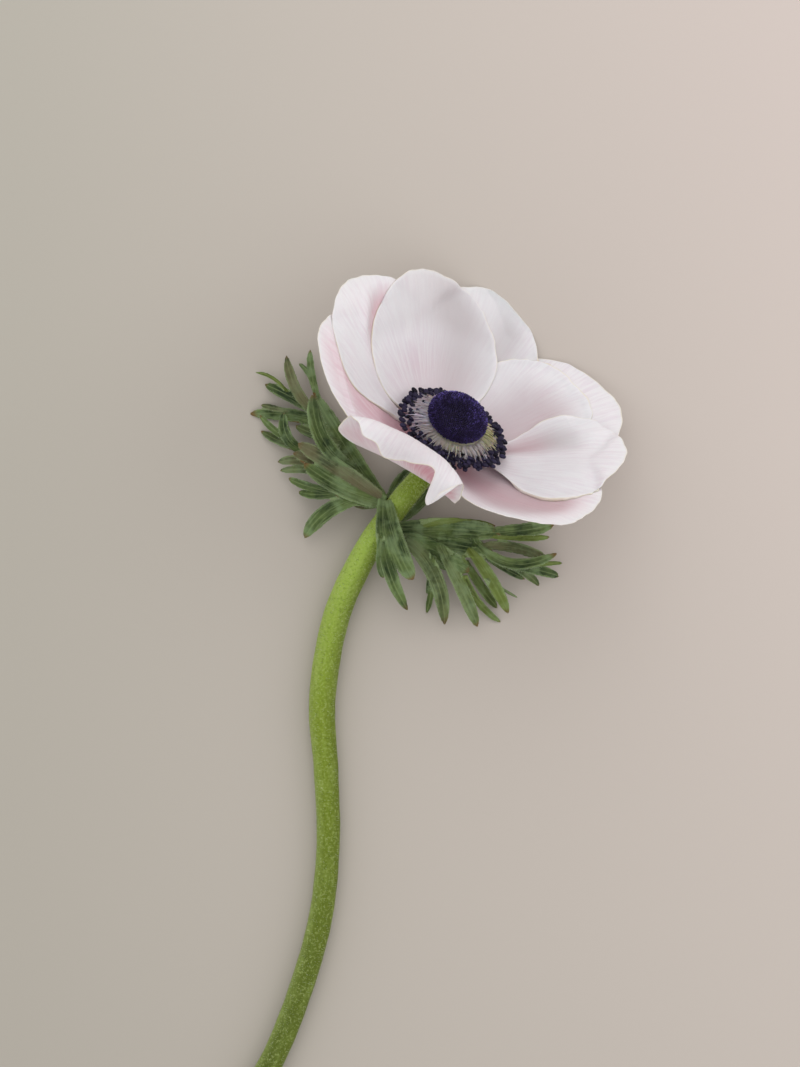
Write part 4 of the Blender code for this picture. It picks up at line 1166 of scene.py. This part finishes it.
def fused_lobes(name, lobes, mat):
    """The lobes of a bract as one object, fused by a fine remesh and relaxed."""
    points, faces = [], []
    for i, row in enumerate(lobes):
        faces += tube_faces(LOBE_STATIONS, LOBE_SIDES, len(points))
        points += lobe_tube(row, i)
    obj = make_piece(name + "_leaf", points, faces, [mat])
    face_outwards(obj)
    remesh = obj.modifiers.new("Fuse", "REMESH")
    remesh.mode = "VOXEL"
    remesh.voxel_size = LEAF_VOXEL * MM
    relax = obj.modifiers.new("Relax", "SMOOTH")
    relax.factor, relax.iterations = 0.5, 4
    graph = bpy.context.evaluated_depsgraph_get()
    mesh = bpy.data.meshes.new_from_object(obj.evaluated_get(graph))
    obj.modifiers.clear()
    old, obj.data = obj.data, mesh
    bpy.data.meshes.remove(old)
    mesh.name = name + "_leaf"
    return obj


def nearest_lobe(lobes, co):
    """For each point, what its nearest lobe has at the nearest place on its centre line:
    the place, the directions to the side and up, half width, way along and the lobe's row."""
    table = []
    for i, row in enumerate(lobes):
        table.append(np.column_stack([*lobe_line(*row, i, LOBE_SAMPLES),
                                      np.full(LOBE_SAMPLES, i)]))
    table = np.concatenate(table)
    tree = KDTree(len(table))
    for i, row in enumerate(table):
        tree.insert(row[:3], i)
    tree.balance()
    near = table[[tree.find(p)[1] for p in co]]
    half, along, owner = near[:, 9:].T
    return near[:, :3], near[:, 3:6], near[:, 6:9], half, along, owner.astype(int)


def make_bract(name, lobes, mat, down):
    """A divided leaf: fused lobes, grooved along their veins, and the hairs on its margins."""
    obj = fused_lobes(name, lobes, mat)
    mesh = obj.data
    co, normal = mesh_arrays(mesh)
    co = co / MM + CENTRE
    place, side, over, half, along, owner = nearest_lobe(lobes, co)
    across = ((co - place) * side).sum(1)
    share = np.abs(across) / np.maximum(half, LEAST_HALF)
    upper = (normal * over).sum(1)
    tone = np.random.default_rng(21).uniform(0, 1, len(lobes))
    for lobe, value in TINTED[name].items():
        tone[lobe] = value
    # a groove over the midrib and two or three shallow furrows on each side
    groove = (FURROW_DEPTH * np.cos(across * 2 * math.pi / FURROW_SPACING)
              - MIDRIB_DEPTH * np.exp(-(across / MIDRIB_WIDTH) ** 2))
    co = co + normal * (groove * smooth(1 - share, 0.0, 0.6) * np.sign(upper))[:, None]
    co[:, 2] = np.maximum(co[:, 2], 0.0)
    mesh.vertices.foreach_set("co", ((co - CENTRE) * MM).astype(np.float32).ravel())
    mesh.update()
    set_uvs(mesh, {"lobe": np.stack([across, along], -1), "rim": np.stack([share, share], -1),
                   "mask": np.stack([tone[owner], upper < 0], -1)})
    mesh.shade_smooth()
    dress(obj, name)
    margin = np.nonzero(np.abs(across) > 0.7 * half)[0]
    pick = np.random.default_rng(5).permutation(margin)[:LEAF_HAIRS]
    ways = unit(normal[pick] + np.random.default_rng(6).normal(0, 0.35, (len(pick), 3)))
    lengths = np.random.default_rng(8).uniform(*LEAF_HAIR_LENGTHS, len(pick))
    add_down(name + "_down", co[pick], ways, lengths, LEAF_HAIR_RADIUS, down, name, "bract")


def mesh_arrays(mesh):
    """Places and normals of a mesh's vertices."""
    co, normal = np.empty((2, len(mesh.vertices) * 3), dtype=np.float32)
    mesh.vertices.foreach_get("co", co)
    mesh.vertex_normals.foreach_get("vector", normal)
    return co.reshape(-1, 3).astype(float), normal.reshape(-1, 3).astype(float)


# ------------------------------------------------------------------ studio
def make_camera():
    """A camera that looks straight down at the flower."""
    cam = bpy.data.cameras.new("camera")
    cam.sensor_width = SENSOR
    cam.lens = SENSOR * (VIEW_HEIGHT - VIEW_LEVEL) / VIEW_SPAN
    cam.clip_start, cam.clip_end = 0.05, 20.0
    obj = link("camera", cam)
    x, y = (VIEW_CENTRE - CENTRE[:2]) * MM
    obj.location = (x, y, VIEW_HEIGHT * MM)
    bpy.context.scene.camera = obj


def make_floor(mat):
    """A broad sheet of paper that the flower lies on."""
    bm = bmesh.new()
    bmesh.ops.create_grid(bm, x_segments=24, y_segments=24, size=FLOOR_SIZE)
    mesh = bpy.data.meshes.new("studio_floor")
    bm.to_mesh(mesh)
    bm.free()
    mesh.materials.append(mat)
    link("studio_floor", mesh)


def make_light():
    """A soft white room and two softboxes."""
    world = bpy.data.worlds.new("soft_room")
    world.use_nodes = True
    colour, strength = world.node_tree.nodes["Background"].inputs[:2]
    colour.default_value, strength.default_value = ROOM_COLOUR, ROOM_STRENGTH
    bpy.context.scene.world = world
    for name, place, size, power in SOFTBOXES:
        light = bpy.data.lights.new(name, "AREA")
        light.shape, light.size, light.energy = "DISK", size, power
        obj = link(name, light)
        obj.location = place
        aim = LIGHT_TARGET - obj.location
        obj.rotation_euler = aim.to_track_quat("-Z", "Y").to_euler()


# ------------------------------------------------------------------ assembly
def main():
    bpy.context.scene.view_settings.view_transform = "Standard"
    make_camera()
    petal, down = petal_material(), down_material()
    placed = []
    for name in sorted(TEPALS, key=lambda key: (key == FRONT, -TEPALS[key][1])):
        Blade(name, placed).dress(petal)
    make_stem(stem_material(), down)
    cream = filament_material()
    make_pistil(dome_material(), cream)
    make_stamens(anther_material(), cream)
    leaf = leaf_material()
    for name, lobes in (("bract_left", LEFT_BRACT), ("bract_right", RIGHT_BRACT),
                        ("bract_back", BACK_BRACT)):
        make_bract(name, lobes, leaf, down)
    make_floor(floor_material())
    make_light()


main()
